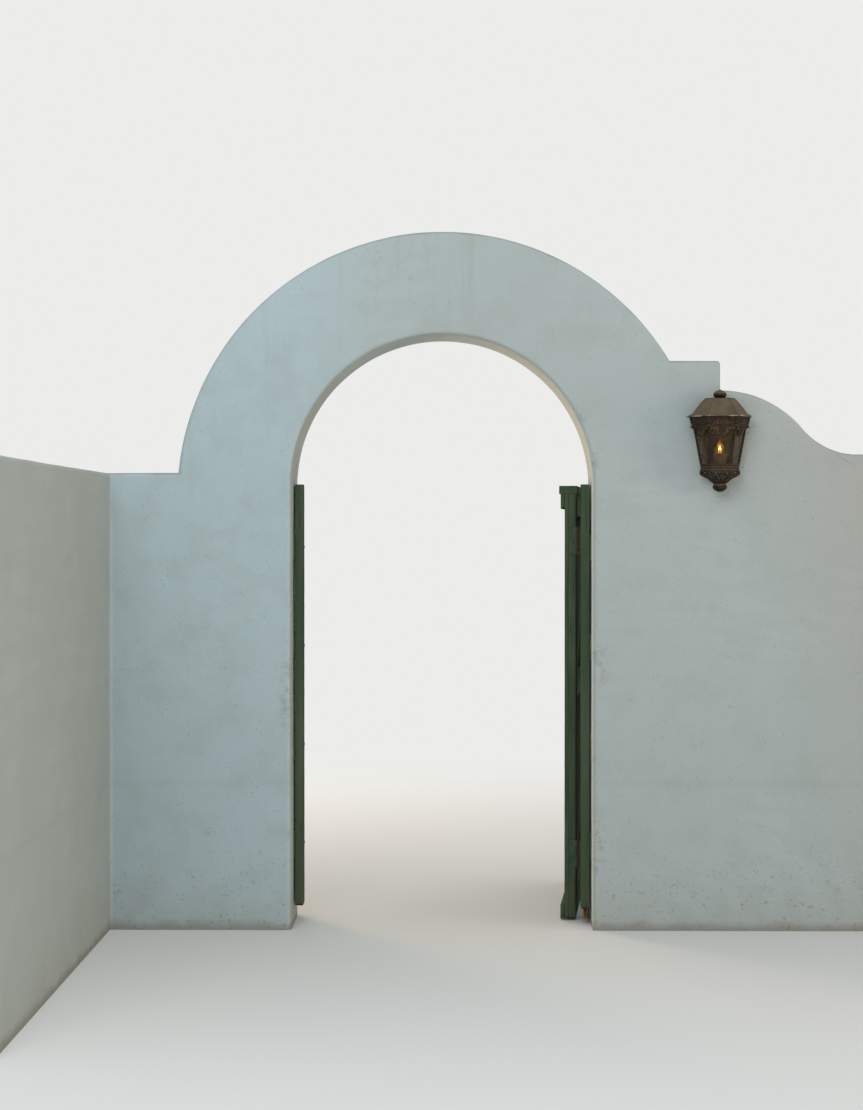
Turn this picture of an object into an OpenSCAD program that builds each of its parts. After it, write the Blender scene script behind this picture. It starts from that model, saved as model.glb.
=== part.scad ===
// Arched garden gateway in a rendered masonry wall, with one timber gate leaf
// standing open and a hexagonal lantern on the wall.
// Millimetres, Z up. The origin is the centre of the hinge pier's foot; +X runs
// along the wall from the latch side to the hinge side, +Y goes through the gateway
// into the garden.

/* [Opening] */
// Clear width between the two masonry reveals
opening_w = 1230; // [1100:2:1400]
// Height of the springing line, where the reveals turn into the semicircle
springing_z = 1811; // [1700:1:2100]

/* [Wall] */
// Thickness of the wall
wall_t = 400; // [330:5:500]
// Radius of the rounded plaster arrises
arris_r = 16; // [6:1:30]
// Top of the low wall on the latch side
low_wall_z = 1862; // [1700:1:2000]
// Masonry between a reveal and the outer edge of the round hump, level with its centre
hump_band = 462; // [380:1:560]
// How far the centre of the hump lies below the springing line
hump_drop = 46; // [0:1:90]
// Half of the angle that the crown block takes of the arch, from the vertical
crown_angle = 32; // [24:1:38]
// Latch-side wall between the hump and the inside corner
left_wall_l = 281; // [200:1:900]
// Length of the wall that returns towards the street
return_wall_l = 2440; // [1000:10:3000]

/* [Step and sweep] */
// Width of the hinge pier, from the reveal to the end of the step
hinge_pier_w = 515; // [470:1:600]
// Height of the step above the top of the sweep
step_h = 120; // [80:1:160]
// Width of the swept shoulder
sweep_w = 556; // [500:1:640]
// Fall of the swept shoulder
sweep_h = 260; // [220:1:300]
// Part of the sweep's two radii that belongs to its upper, convex arc
sweep_upper_part = 0.6; // [0.45:0.01:0.7]
// Top of the low wall on the hinge side
right_wall_z = 1937; // [1850:1:2000]
// Length of the plain wall beyond the sweep
right_wall_l = 1200; // [600:10:2400]

/* [Jamb posts] */
// Thickness of a jamb post, across the opening
post_w = 35; // [30:1:60]
// Depth of a jamb post, through the wall
post_d = 89; // [84:1:120]
// Distance of the posts behind the street face of the wall
post_setback = 150; // [100:1:200]
// Thickness of the packers between a post and its reveal
packer_t = 6; // [2:0.5:10]
// Height of one packer
packer_h = 110; // [80:1:150]
// Packers behind each post
packer_count = 4; // [3:1:5]
// Height of the posts' tops above the springing line
post_rise = 8; // [0:1:30]
// Height at which the hinge post ends above the ground
hinge_post_foot = 63; // [30:1:100]
// Height at which the latch post ends above the ground
latch_post_foot = 75; // [30:1:100]
// Easing cut off the long edges of the sawn timber
timber_easing = 2; // [1:0.5:4]

/* [Gate leaf] */
// Angle at which the leaf stands open
open_angle = 95; // [85:1:98]
// Clearance between the closed leaf and the latch post
latch_gap = 9; // [8:0.5:14]
// Clearance under the leaf
ground_gap = 6; // [5:1:40]
// How far the cap's top lies below the posts' tops
cap_below_post = 4; // [0:1:20]
// Thickness of the frame timbers
frame_t = 32; // [28:1:45]
// Height of the cap
cap_h = 36; // [30:1:45]
// Width of the stiles, the top rail, the middle rail and the braces
rail_w = 89; // [70:1:110]
// Height of the bottom rail
bottom_rail_h = 140; // [100:1:180]
// Height of the middle rail's centre above the ground
middle_rail_z = 960; // [850:5:1100]
// Thickness of the boards
board_t = 16; // [12:1:19]
// Number of boards
board_count = 8; // [6:1:11]
// Depth of the V between two boards
board_v = 3; // [2:0.5:5]
// Thickness of the two trim boards on the street face
trim_t = 16; // [12:1:20]
// Height of the trim board under the cap
top_trim_h = 61; // [50:1:90]
// Rise of the undercut drip along that board's lower edge
drip_rise = 10; // [4:0.5:14]
// Height of the trim board at the foot
bottom_trim_h = 60; // [45:1:90]
// Overhang of the cap over each face of the leaf
cap_overhang = 6.5; // [4:0.5:8]

/* [Hinges] */
// Height of a hinge
hinge_h = 114; // [90:1:130]
// Width of a hinge plate, from the pin
hinge_plate_w = 38; // [34:1:45]
// Thickness of a hinge plate
hinge_plate_t = 3; // [2:0.5:3.5]
// Outer diameter of the knuckles
knuckle_d = 13; // [12:0.5:16]
// Diameter of the pin
hinge_pin_d = 7; // [6:0.5:8]
// Clearance of the pin in its bores, on the diameter
hinge_play = 0.5; // [0.3:0.1:0.8]
// Distance of the pin behind the garden faces of post and leaf
pin_off = 11.5; // [7:0.5:14]
// Centre of the upper hinge above the ground
upper_hinge_z = 1586; // [1450:1:1640]
// Centre of the lower hinge above the ground
lower_hinge_z = 279; // [230:1:400]
// Diameter of the screw holes
screw_hole_d = 5.5; // [4:0.5:6]
// Distance of the outer screws from the plate's free edge
outer_screw_in = 10; // [8:0.5:12]
// Distance of the inner screws from the plate's free edge
inner_screw_in = 18; // [15:0.5:20]
// Play between two knuckles along the pin
axial_gap = 0.4; // [0.2:0.1:0.6]
// Clearance of a plate from the other plate's knuckles
plate_clear = 0.7; // [0.5:0.1:1]
// Thickness of the pin's heads
pin_head_h = 4; // [3:0.5:5]

/* [Lantern] */
// Distance of the lantern's axis from the opening's reveal, along the wall
lantern_from_reveal = 506; // [400:1:700]
// Height of the lantern's floor above the ground
lantern_z = 1883; // [1800:1:1950]
// Distance of the lantern's axis in front of the wall
lantern_off = 66; // [60:1:66]
// Height of the glazed body
body_h = 199; // [160:1:240]
// Corner radius of the body at its foot
body_r1 = 77; // [74:0.5:84]
// Corner radius of the body under the roof
body_r2 = 113; // [104:0.5:116]
// Width of the corner bars, on each side of a corner
bar_w = 9; // [6:0.5:12]
// Height of the body's two rails
body_rail_h = 10; // [6:0.5:14]
// Thickness of the sheet metal
sheet_t = 2.5; // [2:0.1:3]
// Thickness of the glass
glass_t = 2.5; // [2:0.1:3]
// Clearance of the glass inside the cage
glass_play = 0.5; // [0.4:0.1:1]
// Corner radius of the eave
eave_r = 134.5; // [128:0.5:145]
// Corner radius where the roof's slope meets the flared eave
roof_foot_r = 108; // [100:0.5:120]
// Corner radius of the roof's flat top
roof_top_r = 57; // [45:0.5:70]
// Height of the roof's flared eave
eave_h = 14; // [8:0.5:20]
// Height of the roof's slope
roof_h = 62; // [45:0.5:80]
// Corner radius of the gallery where it leaves the eave
gallery_r1 = 124; // [118:0.5:126]
// Corner radius of the gallery at its beads
gallery_r2 = 113; // [110:0.5:116]
// Height of the gallery band between the eave and the beads
gallery_h = 40; // [32:1:44]
// Drop of the gallery's middle lobes below the band
lobe_drop = 38; // [28:1:40]
// Radius of the gallery's side lobes
side_lobe_r = 14; // [10:0.5:16]
// Radius of the beads on the gallery's corners
bead_r = 5; // [3:0.5:7]
// Radius of the knob on the roof
knob_r = 27; // [20:0.5:32]
// Height of the knob
knob_h = 36; // [28:0.5:44]
// Height of the moulded ring under the body
ring_h = 26; // [18:0.5:32]
// Corner radius of the moulded ring at its lower edge
ring_r = 81; // [79:0.5:88]
// Height of the pierced skirt
skirt_h = 38; // [30:0.5:46]
// Corner radius of the skirt at its foot
skirt_foot_r = 27; // [20:0.5:32]
// Diameter of the holes in the skirt and the gallery
piercing_d = 7; // [5:0.5:9]
// Radius of the finial
finial_r = 29; // [22:0.5:34]
// Height of the finial
finial_h = 36; // [28:0.5:42]
// Distance of the gallery's lobes in front of the body
lobe_stand_off = 4; // [3:0.5:6]
// Pitch of the holes in the skirt
skirt_pierce_pitch = 14; // [10:0.5:16]
// Tilt of those holes below the level
skirt_pierce_angle = 50; // [35:1:60]
// Radius of the candle cup
cup_r = 27; // [20:0.5:30]
// Taper of the cup's radius towards its foot
cup_taper = 2; // [0:0.5:4]
// Depth of the cup's bowl
cup_bowl = 12; // [8:0.5:16]
// Height of the candle cup
cup_h = 56; // [45:1:70]
// Largest radius of the bulb
bulb_r = 18; // [14:0.5:20]
// Height of the bulb
bulb_h = 65; // [55:1:80]

/* [Hidden] */

PLASTER = [0.86, 0.88, 0.87];
GREEN = [0.17, 0.26, 0.20];
HINGE_BROWN = [0.23, 0.17, 0.14];
BRONZE = [0.24, 0.20, 0.17];
AMBER = [0.75, 0.62, 0.42, 0.45];
CANDLE = [0.80, 0.74, 0.62];

$fn = 96;
eps = 1;

opening_r = opening_w / 2;
hump_r = opening_r + hump_band;
hump_z = springing_z - hump_drop;
hump_foot_x = low_wall_z > hump_z ? sqrt(pow(hump_r, 2) - pow(low_wall_z - hump_z, 2)) : hump_r;
apex_z = hump_z + hump_r;
corner_x = -hump_foot_x - left_wall_l;
step_end_x = opening_r + hinge_pier_w;
sweep_z = right_wall_z + sweep_h;
step_z = sweep_z + step_h;
sweep_end_x = step_end_x + sweep_w;
right_end_x = sweep_end_x + right_wall_l;

// Two arcs that touch, level at both ends: the sum of their radii follows from the
// sweep's width and fall, and the angle at which they meet from the sum
sweep_radii = (pow(sweep_w, 2) + pow(sweep_h, 2)) / (2 * sweep_h);
upper_sweep_r = sweep_radii * sweep_upper_part;
lower_sweep_r = sweep_radii - upper_sweep_r;
sweep_turn = asin(sweep_w / sweep_radii);
sweep_meet_x = step_end_x + upper_sweep_r * sin(sweep_turn);

post_face_x = opening_r - packer_t - post_w;
post_garden_y = post_setback + post_d;
post_top_z = springing_z + post_rise;

pin_x = post_face_x - knuckle_d / 2;
screw_pitch = hinge_h / 4.4;
pin_y = post_garden_y + pin_off;
leaf_w = pin_x - knuckle_d / 2 + post_face_x - latch_gap;
leaf_t = frame_t + board_t + trim_t;
cap_top_z = post_top_z - cap_below_post;
leaf_top_z = cap_top_z - cap_h;
leaf_h = leaf_top_z - ground_gap;
bay_w = leaf_w - 2 * rail_w;

wall_side_y = lantern_off - sheet_t;

// Profiles of the turned parts, as parts of their radius and of their height
knob_profile = [[0.6, 0], [0.66, 0.05], [0.86, 0.16], [0.97, 0.28], [1, 0.4], [0.97, 0.52],
                [0.86, 0.65], [0.68, 0.76], [0.45, 0.86], [0.2, 0.94], [0.07, 1]];
finial_profile = [[0.86, 0], [0.84, 0.08], [0.94, 0.22], [1, 0.42], [0.97, 0.56], [0.86, 0.7],
                  [0.66, 0.83], [0.4, 0.93], [0.15, 1]];
bulb_profile = [[0.6, 0], [0.82, 0.15], [0.97, 0.28], [1, 0.38], [0.92, 0.52], [0.74, 0.66],
                [0.5, 0.8], [0.24, 0.92], [0.08, 1]];
// Corner radius and height of each level of the ring and of the skirt
ring_levels = [[body_r1, 0], [body_r1 + 1, -0.3 * ring_h], [ring_r - 1, -0.75 * ring_h], [ring_r, -ring_h]];
skirt_levels = [for (level = [[ring_r - 1, 0], [ring_r - 3, 0.12], [ring_r * 0.81, 0.3],
                              [ring_r * 0.57, 0.55], [ring_r * 0.43, 0.86], [skirt_foot_r, 1]])
                [level[0], -ring_h - level[1] * skirt_h]];
// Rows of holes in a facet of the skirt: depth below its top as a part of its height,
// and places along the facet in pitches
skirt_rows = [[0.16, [-1, 0, 1]], [0.34, [-0.5, 0.5]], [0.52, [0]]];
eave_z = body_h + sheet_t;
roof_top_z = eave_z + eave_h + roof_h;

// Place of the opening: its centre line, on the ground, in the street face
module at_opening()
  translate([-opening_r - hinge_pier_w / 2, -wall_t / 2, 0]) children();

// Masonry

// Section of a wall of the given top, drawn with X as the depth and Y as the height
module wall_section(top) {
  square([wall_t, top - arris_r]);
  translate([arris_r, 0]) square([wall_t - 2 * arris_r, top]);
  for (x = [arris_r, wall_t - arris_r]) translate([x, top - arris_r]) circle(arris_r);
}

// Straight run of wall along X, with both top edges rounded
module wall_run(x1, x2, top)
  translate([x1, 0, 0])
    rotate([90, 0, 90]) linear_extrude(x2 - x1) wall_section(top);

// Disc standing in the wall's plane, with its rim rounded at both faces
module rounded_disc(r)
  rotate([-90, 0, 0]) rotate_extrude($fn = 180) {
    square([r - arris_r, wall_t]);
    translate([0, arris_r]) square([r, wall_t - 2 * arris_r]);
    for (y = [arris_r, wall_t - arris_r]) translate([r - arris_r, y]) circle(arris_r);
  }

// Half the outline of a void of radius r through the wall, flared at both faces so
// that it leaves a rounded arris
module flared_half(r) {
  translate([0, -eps]) square([r, wall_t + 2 * eps]);
  for (side = [0, 1]) translate([0, side * wall_t]) mirror([0, side]) difference() {
    translate([0, -eps]) square([r + arris_r, arris_r + eps]);
    translate([r + arris_r, arris_r]) circle(arris_r);
    translate([r + arris_r, -2 * eps]) square([arris_r, arris_r + 2 * eps]);
  }
}

module flared_disc(r)
  rotate([-90, 0, 0]) rotate_extrude($fn = 180) flared_half(r);

// The way through: upright reveals and the semicircular head
module passage() {
  translate([0, 0, springing_z]) flared_disc(opening_r);
  translate([0, 0, -eps]) linear_extrude(springing_z + eps) {
    flared_half(opening_r);
    mirror([1, 0]) flared_half(opening_r);
  }
}

// The round hump, with upright sides below its centre
module hump() {
  translate([0, 0, hump_z]) rounded_disc(hump_r);
  linear_extrude(hump_z) {
    translate([-hump_r, arris_r]) square([2 * hump_r, wall_t - 2 * arris_r]);
    translate([-hump_r + arris_r, 0]) square([2 * (hump_r - arris_r), wall_t]);
    for (x = [-1, 1], y = [arris_r, wall_t - arris_r])
      translate([x * (hump_r - arris_r), y]) circle(arris_r);
  }
}

// The square step beside the hump, with its top and its end edges rounded
module step() intersection() {
  wall_run(opening_r, step_end_x, step_z);
  translate([opening_r, 0, 0]) linear_extrude(step_z + eps) {
    square([hinge_pier_w - arris_r, wall_t]);
    translate([0, arris_r]) square([hinge_pier_w, wall_t - 2 * arris_r]);
    for (y = [arris_r, wall_t - arris_r]) translate([hinge_pier_w - arris_r, y]) circle(arris_r);
  }
  translate([opening_r, wall_t + eps, 0]) rotate([90, 0, 0]) linear_extrude(wall_t + 2 * eps) {
    square([hinge_pier_w, step_z - arris_r]);
    square([hinge_pier_w - arris_r, step_z]);
    translate([hinge_pier_w - arris_r, step_z - arris_r]) circle(arris_r);
  }
}

// Space between two heights and two places along the wall
module bay(x1, x2, z1, z2)
  translate([x1, -eps, z1]) cube([x2 - x1, wall_t + 2 * eps, z2 - z1]);

// Wedge of the arch's crown, from the centre of the arch upwards
module crown_wedge() {
  reach = 2 * hump_r;
  translate([0, wall_t + eps, springing_z]) rotate([90, 0, 0]) linear_extrude(wall_t + 2 * eps)
    polygon([[0, 0], [reach * sin(crown_angle), reach * cos(crown_angle)],
             [-reach * sin(crown_angle), reach * cos(crown_angle)]]);
}

module crown() color(PLASTER) at_opening() difference() {
  intersection() {
    hump();
    crown_wedge();
  }
  passage();
}

module left_haunch() color(PLASTER) at_opening() difference() {
  intersection() {
    hump();
    bay(-hump_r - eps, 0, low_wall_z, apex_z + eps);
  }
  passage();
  crown_wedge();
}

module right_haunch() color(PLASTER) at_opening() difference() {
  intersection() {
    union() {
      hump();
      step();
    }
    bay(0, step_end_x, low_wall_z, apex_z + eps);
  }
  passage();
  crown_wedge();
}

module latch_pier() color(PLASTER) at_opening() difference() {
  intersection() {
    union() {
      hump();
      wall_run(-hump_r, 0, low_wall_z);
    }
    bay(-hump_foot_x, -opening_r / 2, 0, low_wall_z);
  }
  passage();
}

module hinge_pier() color(PLASTER) at_opening() difference() {
  translate([opening_r / 2, 0, 0]) cube([step_end_x - opening_r / 2, wall_t, low_wall_z]);
  passage();
}

module left_wall() color(PLASTER) at_opening()
  wall_run(corner_x, -hump_foot_x, low_wall_z);

// The run towards the street, continued through the corner
module return_run(y1, y2)
  translate([corner_x - wall_t, y2, 0]) rotate([90, 0, 0]) linear_extrude(y2 - y1)
    wall_section(low_wall_z);

module return_wall() color(PLASTER) at_opening() return_run(-return_wall_l, 0);

// The block where the two runs meet: rounded outside, with a valley-free inside corner
module wall_corner() color(PLASTER) at_opening() intersection() {
  union() {
    wall_run(corner_x - wall_t, corner_x, low_wall_z);
    return_run(0, wall_t);
  }
  translate([corner_x - wall_t, 0, 0]) linear_extrude(low_wall_z + eps) {
    square([wall_t, wall_t - arris_r]);
    translate([arris_r, 0]) square([wall_t - arris_r, wall_t]);
    translate([arris_r, wall_t - arris_r]) circle(arris_r);
  }
  translate([corner_x - wall_t, 0, 0]) rotate([90, 0, 90]) linear_extrude(wall_t) {
    square([wall_t - arris_r, low_wall_z]);
    square([wall_t, low_wall_z - arris_r]);
    translate([wall_t - arris_r, low_wall_z - arris_r]) circle(arris_r);
  }
  translate([corner_x - wall_t, wall_t, 0]) rotate([90, 0, 0]) linear_extrude(wall_t) {
    square([wall_t, low_wall_z - arris_r]);
    translate([arris_r, 0]) square([wall_t - arris_r, low_wall_z]);
    translate([arris_r, low_wall_z - arris_r]) circle(arris_r);
  }
}

// The swept shoulder: a convex arc, then a hollow one that runs out level
module shoulder() color(PLASTER) at_opening() {
  intersection() {
    union() {
      translate([step_end_x, 0, sweep_z - upper_sweep_r]) rounded_disc(upper_sweep_r);
      translate([step_end_x, 0, 0]) cube([sweep_w, wall_t, sweep_z - upper_sweep_r]);
    }
    bay(step_end_x, sweep_meet_x, 0, sweep_z + eps);
  }
  difference() {
    translate([sweep_meet_x, 0, 0])
      cube([sweep_end_x - sweep_meet_x, wall_t, right_wall_z + lower_sweep_r]);
    translate([sweep_end_x, 0, right_wall_z + lower_sweep_r]) flared_disc(lower_sweep_r);
  }
}

module right_wall() color(PLASTER) at_opening()
  wall_run(sweep_end_x, right_end_x, right_wall_z);

// Timber

// Sawn timber of the given size with its four long edges eased; the length is along Z
module sawn_timber(w, d, l) linear_extrude(l)
  polygon([[timber_easing, 0], [w - timber_easing, 0], [w, timber_easing], [w, d - timber_easing],
           [w - timber_easing, d], [timber_easing, d], [0, d - timber_easing], [0, timber_easing]]);

module hinge_post() color(GREEN) at_opening()
  translate([post_face_x, post_setback, hinge_post_foot])
    sawn_timber(post_w, post_d, post_top_z - hinge_post_foot);

module latch_post() color(GREEN) at_opening()
  translate([-post_face_x - post_w, post_setback, latch_post_foot])
    sawn_timber(post_w, post_d, post_top_z - latch_post_foot);

// Packers between a post and its reveal, evenly spaced between the post's ends
module packers(foot_z) {
  pitch = (post_top_z - foot_z - packer_h) / packer_count;
  for (i = [0 : packer_count - 1])
    translate([0, post_setback + timber_easing, foot_z + (i + 0.5) * pitch])
      cube([packer_t, post_d - 2 * timber_easing, packer_h]);
}

module hinge_post_packers() color(GREEN) at_opening()
  translate([opening_r - packer_t, 0, 0]) packers(hinge_post_foot);

module latch_post_packers() color(GREEN) at_opening()
  translate([-opening_r, 0, 0]) packers(latch_post_foot);

// Place of the leaf: the hinge pin's axis, with X along the leaf from the pin and Y
// from its garden face to its street face
module on_leaf() at_opening()
  translate([pin_x, pin_y, 0]) rotate([0, 0, 180 - open_angle])
    translate([knuckle_d / 2, pin_off, 0]) children();

// Upright frame timber, and frame timber lying along the leaf
module stile(x) translate([x, 0, ground_gap]) sawn_timber(rail_w, frame_t, leaf_h);

module rail(z, h)
  translate([leaf_w - rail_w, 0, z]) rotate([0, -90, 0]) sawn_timber(h, frame_t, bay_w);

module hinge_stile() color(GREEN) on_leaf() stile(0);
module latch_stile() color(GREEN) on_leaf() stile(leaf_w - rail_w);
module bottom_rail() color(GREEN) on_leaf() rail(ground_gap, bottom_rail_h);
module middle_rail() color(GREEN) on_leaf() rail(middle_rail_z - rail_w / 2, rail_w);
module top_rail() color(GREEN) on_leaf() rail(leaf_top_z - rail_w, rail_w);

// Diagonal brace that rises from the hinge side across the bay between two rails
module brace(z1, z2) {
  rise = z2 - z1;
  translate([rail_w, frame_t, z1]) rotate([90, 0, 0]) linear_extrude(frame_t) intersection() {
    square([bay_w, rise]);
    rotate(atan2(rise, bay_w)) translate([-rail_w, -rail_w / 2]) square([bay_w + rise, rail_w]);
  }
}

module lower_brace() color(GREEN) on_leaf()
  brace(ground_gap + bottom_rail_h, middle_rail_z - rail_w / 2);

module upper_brace() color(GREEN) on_leaf()
  brace(middle_rail_z + rail_w / 2, leaf_top_z - rail_w);

// Upright boards with a V at every joint of the street face, as one profile
module boards() color(GREEN) on_leaf() {
  pitch = leaf_w / board_count;
  joints = [for (i = [board_count - 1 : -1 : 1]) each
    [[i * pitch + board_v, board_t], [i * pitch, board_t - board_v], [i * pitch - board_v, board_t]]];
  translate([0, frame_t, ground_gap]) linear_extrude(leaf_h)
    polygon(concat([[0, 0], [leaf_w, 0], [leaf_w, board_t]], joints, [[0, board_t]]));
}

module gate_cap() color(GREEN) on_leaf()
  translate([leaf_w, -cap_overhang, leaf_top_z]) rotate([0, -90, 0])
    sawn_timber(cap_h, leaf_t + 2 * cap_overhang, leaf_w);

// The top trim is undercut along its lower edge, so that it drips from its face
module top_trim() color(GREEN) on_leaf()
  translate([0, frame_t + board_t, leaf_top_z - top_trim_h]) rotate([90, 0, 90])
    linear_extrude(leaf_w)
      polygon([[0, drip_rise], [trim_t, 0], [trim_t, top_trim_h], [0, top_trim_h]]);

module bottom_trim() color(GREEN) on_leaf()
  translate([0, frame_t + board_t, ground_gap]) cube([leaf_w, trim_t, bottom_trim_h]);

// Hinges

// Butt hinge plate on the pin's axis. It lies against the plane x = knuckle_d / 2 and
// runs along +Y; own lists its knuckles of the five, counted from the foot
module hinge_plate(own) {
  knuckle_h = hinge_h / 5;
  clear_r = knuckle_d / 2 + plate_clear;
  difference() {
    union() {
      translate([knuckle_d / 2 - hinge_plate_t, clear_r, -hinge_h / 2])
        cube([hinge_plate_t, hinge_plate_w - clear_r, hinge_h]);
      for (i = own) translate([0, 0, -hinge_h / 2 + i * knuckle_h + axial_gap / 2]) {
        cylinder(d = knuckle_d, h = knuckle_h - axial_gap);
        translate([knuckle_d / 2 - hinge_plate_t, 0, 0])
          cube([hinge_plate_t, clear_r + eps, knuckle_h - axial_gap]);
      }
    }
    translate([0, 0, -hinge_h]) cylinder(d = hinge_pin_d + hinge_play, h = 2 * hinge_h);
    for (row = [-1.5 : 1.5])
      translate([0, hinge_plate_w - (abs(row) > 1 ? outer_screw_in : inner_screw_in), row * screw_pitch])
        rotate([0, 90, 0]) cylinder(d = screw_hole_d, h = knuckle_d, $fn = 24);
  }
}

// Pin with a flat head at each end
module hinge_pin(z) at_opening() translate([pin_x, pin_y, z]) {
  cylinder(d = hinge_pin_d, h = hinge_h + 2 * eps, center = true);
  for (side = [-1, 1]) translate([0, 0, side * (hinge_h + pin_head_h) / 2])
    cylinder(d = knuckle_d - 2, h = pin_head_h, center = true);
}

module post_plate(z) at_opening() translate([pin_x, pin_y, z]) mirror([0, 1, 0])
  hinge_plate([0, 2, 4]);

module gate_plate(z) at_opening() translate([pin_x, pin_y, z])
  rotate([0, 0, 180 - open_angle]) hinge_plate([1, 3]);

module upper_hinge_post_plate() color(HINGE_BROWN) post_plate(upper_hinge_z);
module upper_hinge_gate_plate() color(HINGE_BROWN) gate_plate(upper_hinge_z);
module upper_hinge_pin() color(HINGE_BROWN) hinge_pin(upper_hinge_z);
module lower_hinge_post_plate() color(HINGE_BROWN) post_plate(lower_hinge_z);
module lower_hinge_gate_plate() color(HINGE_BROWN) gate_plate(lower_hinge_z);
module lower_hinge_pin() color(HINGE_BROWN) hinge_pin(lower_hinge_z);

// Lantern

// Place of the lantern: its axis at the height of its floor; the wall is at +Y
module at_lantern() at_opening()
  translate([opening_r + lantern_from_reveal, -lantern_off, lantern_z]) children();

// Hexagonal frustum with flats to the street and to the wall
module hexagon(z, h, r1, r2) translate([0, 0, z]) cylinder(h = h, r1 = r1, r2 = r2, $fn = 6);

// What lies in front of the backplate
module before_wall() intersection() {
  translate([-2 * eave_r, -2 * eave_r, -2 * body_h])
    cube([4 * eave_r, 2 * eave_r + wall_side_y, 5 * body_h]);
  children();
}

// Places a child on each of the five facets away from the wall; the child's X runs
// along the facet and its Y outwards
module on_facets() for (turn = [-120, -60, 0, 60, 120]) rotate([0, 0, turn + 180]) children();

module lantern_backplate() color(BRONZE) at_lantern() {
  half_foot = (body_r1 - wall_side_y / tan(60)) - 2;
  half_head = (body_r2 - wall_side_y / tan(60)) - 2;
  translate([0, lantern_off, 0]) rotate([90, 0, 0]) linear_extrude(sheet_t)
    polygon([[-half_foot, -ring_h / 2], [half_foot, -ring_h / 2], [half_head, eave_z],
             [half_head / 2, eave_z + eave_h], [-half_head / 2, eave_z + eave_h],
             [-half_head, eave_z]]);
}

// Glazed body: a tapering hexagonal shell with a window in each facet
module lantern_cage() color(BRONZE) at_lantern() before_wall() difference() {
  hexagon(0, body_h, body_r1, body_r2);
  hexagon(-eps, body_h + 2 * eps, body_r1 - 2 * sheet_t, body_r2 - 2 * sheet_t);
  on_facets() rotate([90, 0, 0]) translate([0, 0, -2 * body_r2]) linear_extrude(2 * body_r2)
    polygon([[-body_r1 / 2 + bar_w, body_rail_h], [body_r1 / 2 - bar_w, body_rail_h],
             [body_r2 / 2 - bar_w, body_h - body_rail_h],
             [-body_r2 / 2 + bar_w, body_h - body_rail_h]]);
}

module lantern_glass() color(AMBER) at_lantern() before_wall() difference() {
  inset = 2 * sheet_t + glass_play;
  hexagon(0, body_h, body_r1 - inset, body_r2 - inset);
  hexagon(-eps, body_h + 2 * eps, body_r1 - inset - 2 * glass_t, body_r2 - inset - 2 * glass_t);
}

// Flat-sided rods square to the five facets, for round parts of the gallery: each of
// the list's entries is a place along the facet, a height, a radius and a number of sides
module facet_rods(list) on_facets() for (rod = list)
  translate([rod[0], body_r2 / 2, rod[1]]) rotate([-90, 0, 0]) linear_extrude(body_r2)
    polygon([for (k = [0 : rod[3] - 1]) rod[2] * [cos(360 * k / rod[3]), sin(360 * k / rod[3])]]);

// Pierced gallery: a band that slopes in from the eave, a large lobe and two small ones
// on each facet below it, and a bead on each corner
module lantern_gallery() color(BRONZE) at_lantern() before_wall() {
  band_z = eave_z - gallery_h;
  lobe_r = body_r1 / 3;
  lobe_z = band_z - lobe_drop + lobe_r;
  foot_z = band_z - lobe_drop - eps;
  foot_r = body_r1 + (body_r2 - body_r1) * foot_z / body_h + lobe_stand_off;
  difference() {
    intersection() {
      difference() {
        union() {
          hexagon(band_z, gallery_h, gallery_r2, gallery_r1);
          hexagon(foot_z, band_z - foot_z, foot_r, gallery_r2);
        }
        hexagon(band_z, gallery_h + eps, gallery_r2 - sheet_t, gallery_r1 - sheet_t);
        hexagon(foot_z - eps, band_z - foot_z + 2 * eps, foot_r - sheet_t, gallery_r2 - sheet_t);
      }
      union() {
        translate([-eave_r, -eave_r, band_z]) cube([2 * eave_r, 2 * eave_r, 2 * gallery_h]);
        facet_rods([[0, lobe_z, lobe_r, 24], [-gallery_r2 / 3, band_z, side_lobe_r, 24],
                    [gallery_r2 / 3, band_z, side_lobe_r, 24]]);
      }
    }
    facet_rods([for (i = [-2 : 2]) [i * gallery_r2 / 6, band_z + piercing_d, piercing_d / 2, 8],
                [0, lobe_z, piercing_d, 12]]);
  }
  for (turn = [-180 : 60 : 0]) rotate([0, 0, turn])
    translate([gallery_r2 + bead_r / 5, 0, band_z]) sphere(bead_r, $fn = 12);
}

module lantern_roof() color(BRONZE) at_lantern() before_wall() difference() {
  union() {
    hexagon(eave_z, sheet_t, eave_r, eave_r);
    hexagon(eave_z + sheet_t, eave_h - sheet_t, eave_r, roof_foot_r);
    hexagon(eave_z + eave_h, roof_h, roof_foot_r, roof_top_r);
    hexagon(roof_top_z - sheet_t, sheet_t, roof_top_r + sheet_t, roof_top_r + sheet_t);
  }
  hexagon(eave_z - eps, eave_h + eps, body_r2 - 3 * sheet_t, roof_foot_r - 3 * sheet_t);
  hexagon(eave_z + eave_h - eps, roof_h - sheet_t, roof_foot_r - 3 * sheet_t, roof_top_r - sheet_t);
}

// Solid turned from a profile, standing on the ground
module turned(profile, r, h) rotate_extrude($fn = 48)
  polygon(concat([[0, 0]], [for (point = profile) [point[0] * r, point[1] * h]], [[0, h]]));

// Hexagonal solid through the given levels, from the highest down
module hex_stack(levels, inset = 0) for (i = [1 : len(levels) - 1])
  hexagon(levels[i][1], levels[i - 1][1] - levels[i][1], levels[i][0] - inset, levels[i - 1][0] - inset);

// Turned knob: a full belly low down under a shallow dome with a small tip
module lantern_knob() color(BRONZE) at_lantern() translate([0, 0, roof_top_z])
  turned(knob_profile, knob_r, knob_h);

// Moulded ring with the lantern's floor
module lantern_ring() color(BRONZE) at_lantern() before_wall() difference() {
  hex_stack(ring_levels);
  hexagon(-ring_h - eps, ring_h + eps - sheet_t, ring_r - 2 * sheet_t, body_r1 - 2 * sheet_t);
}

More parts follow.
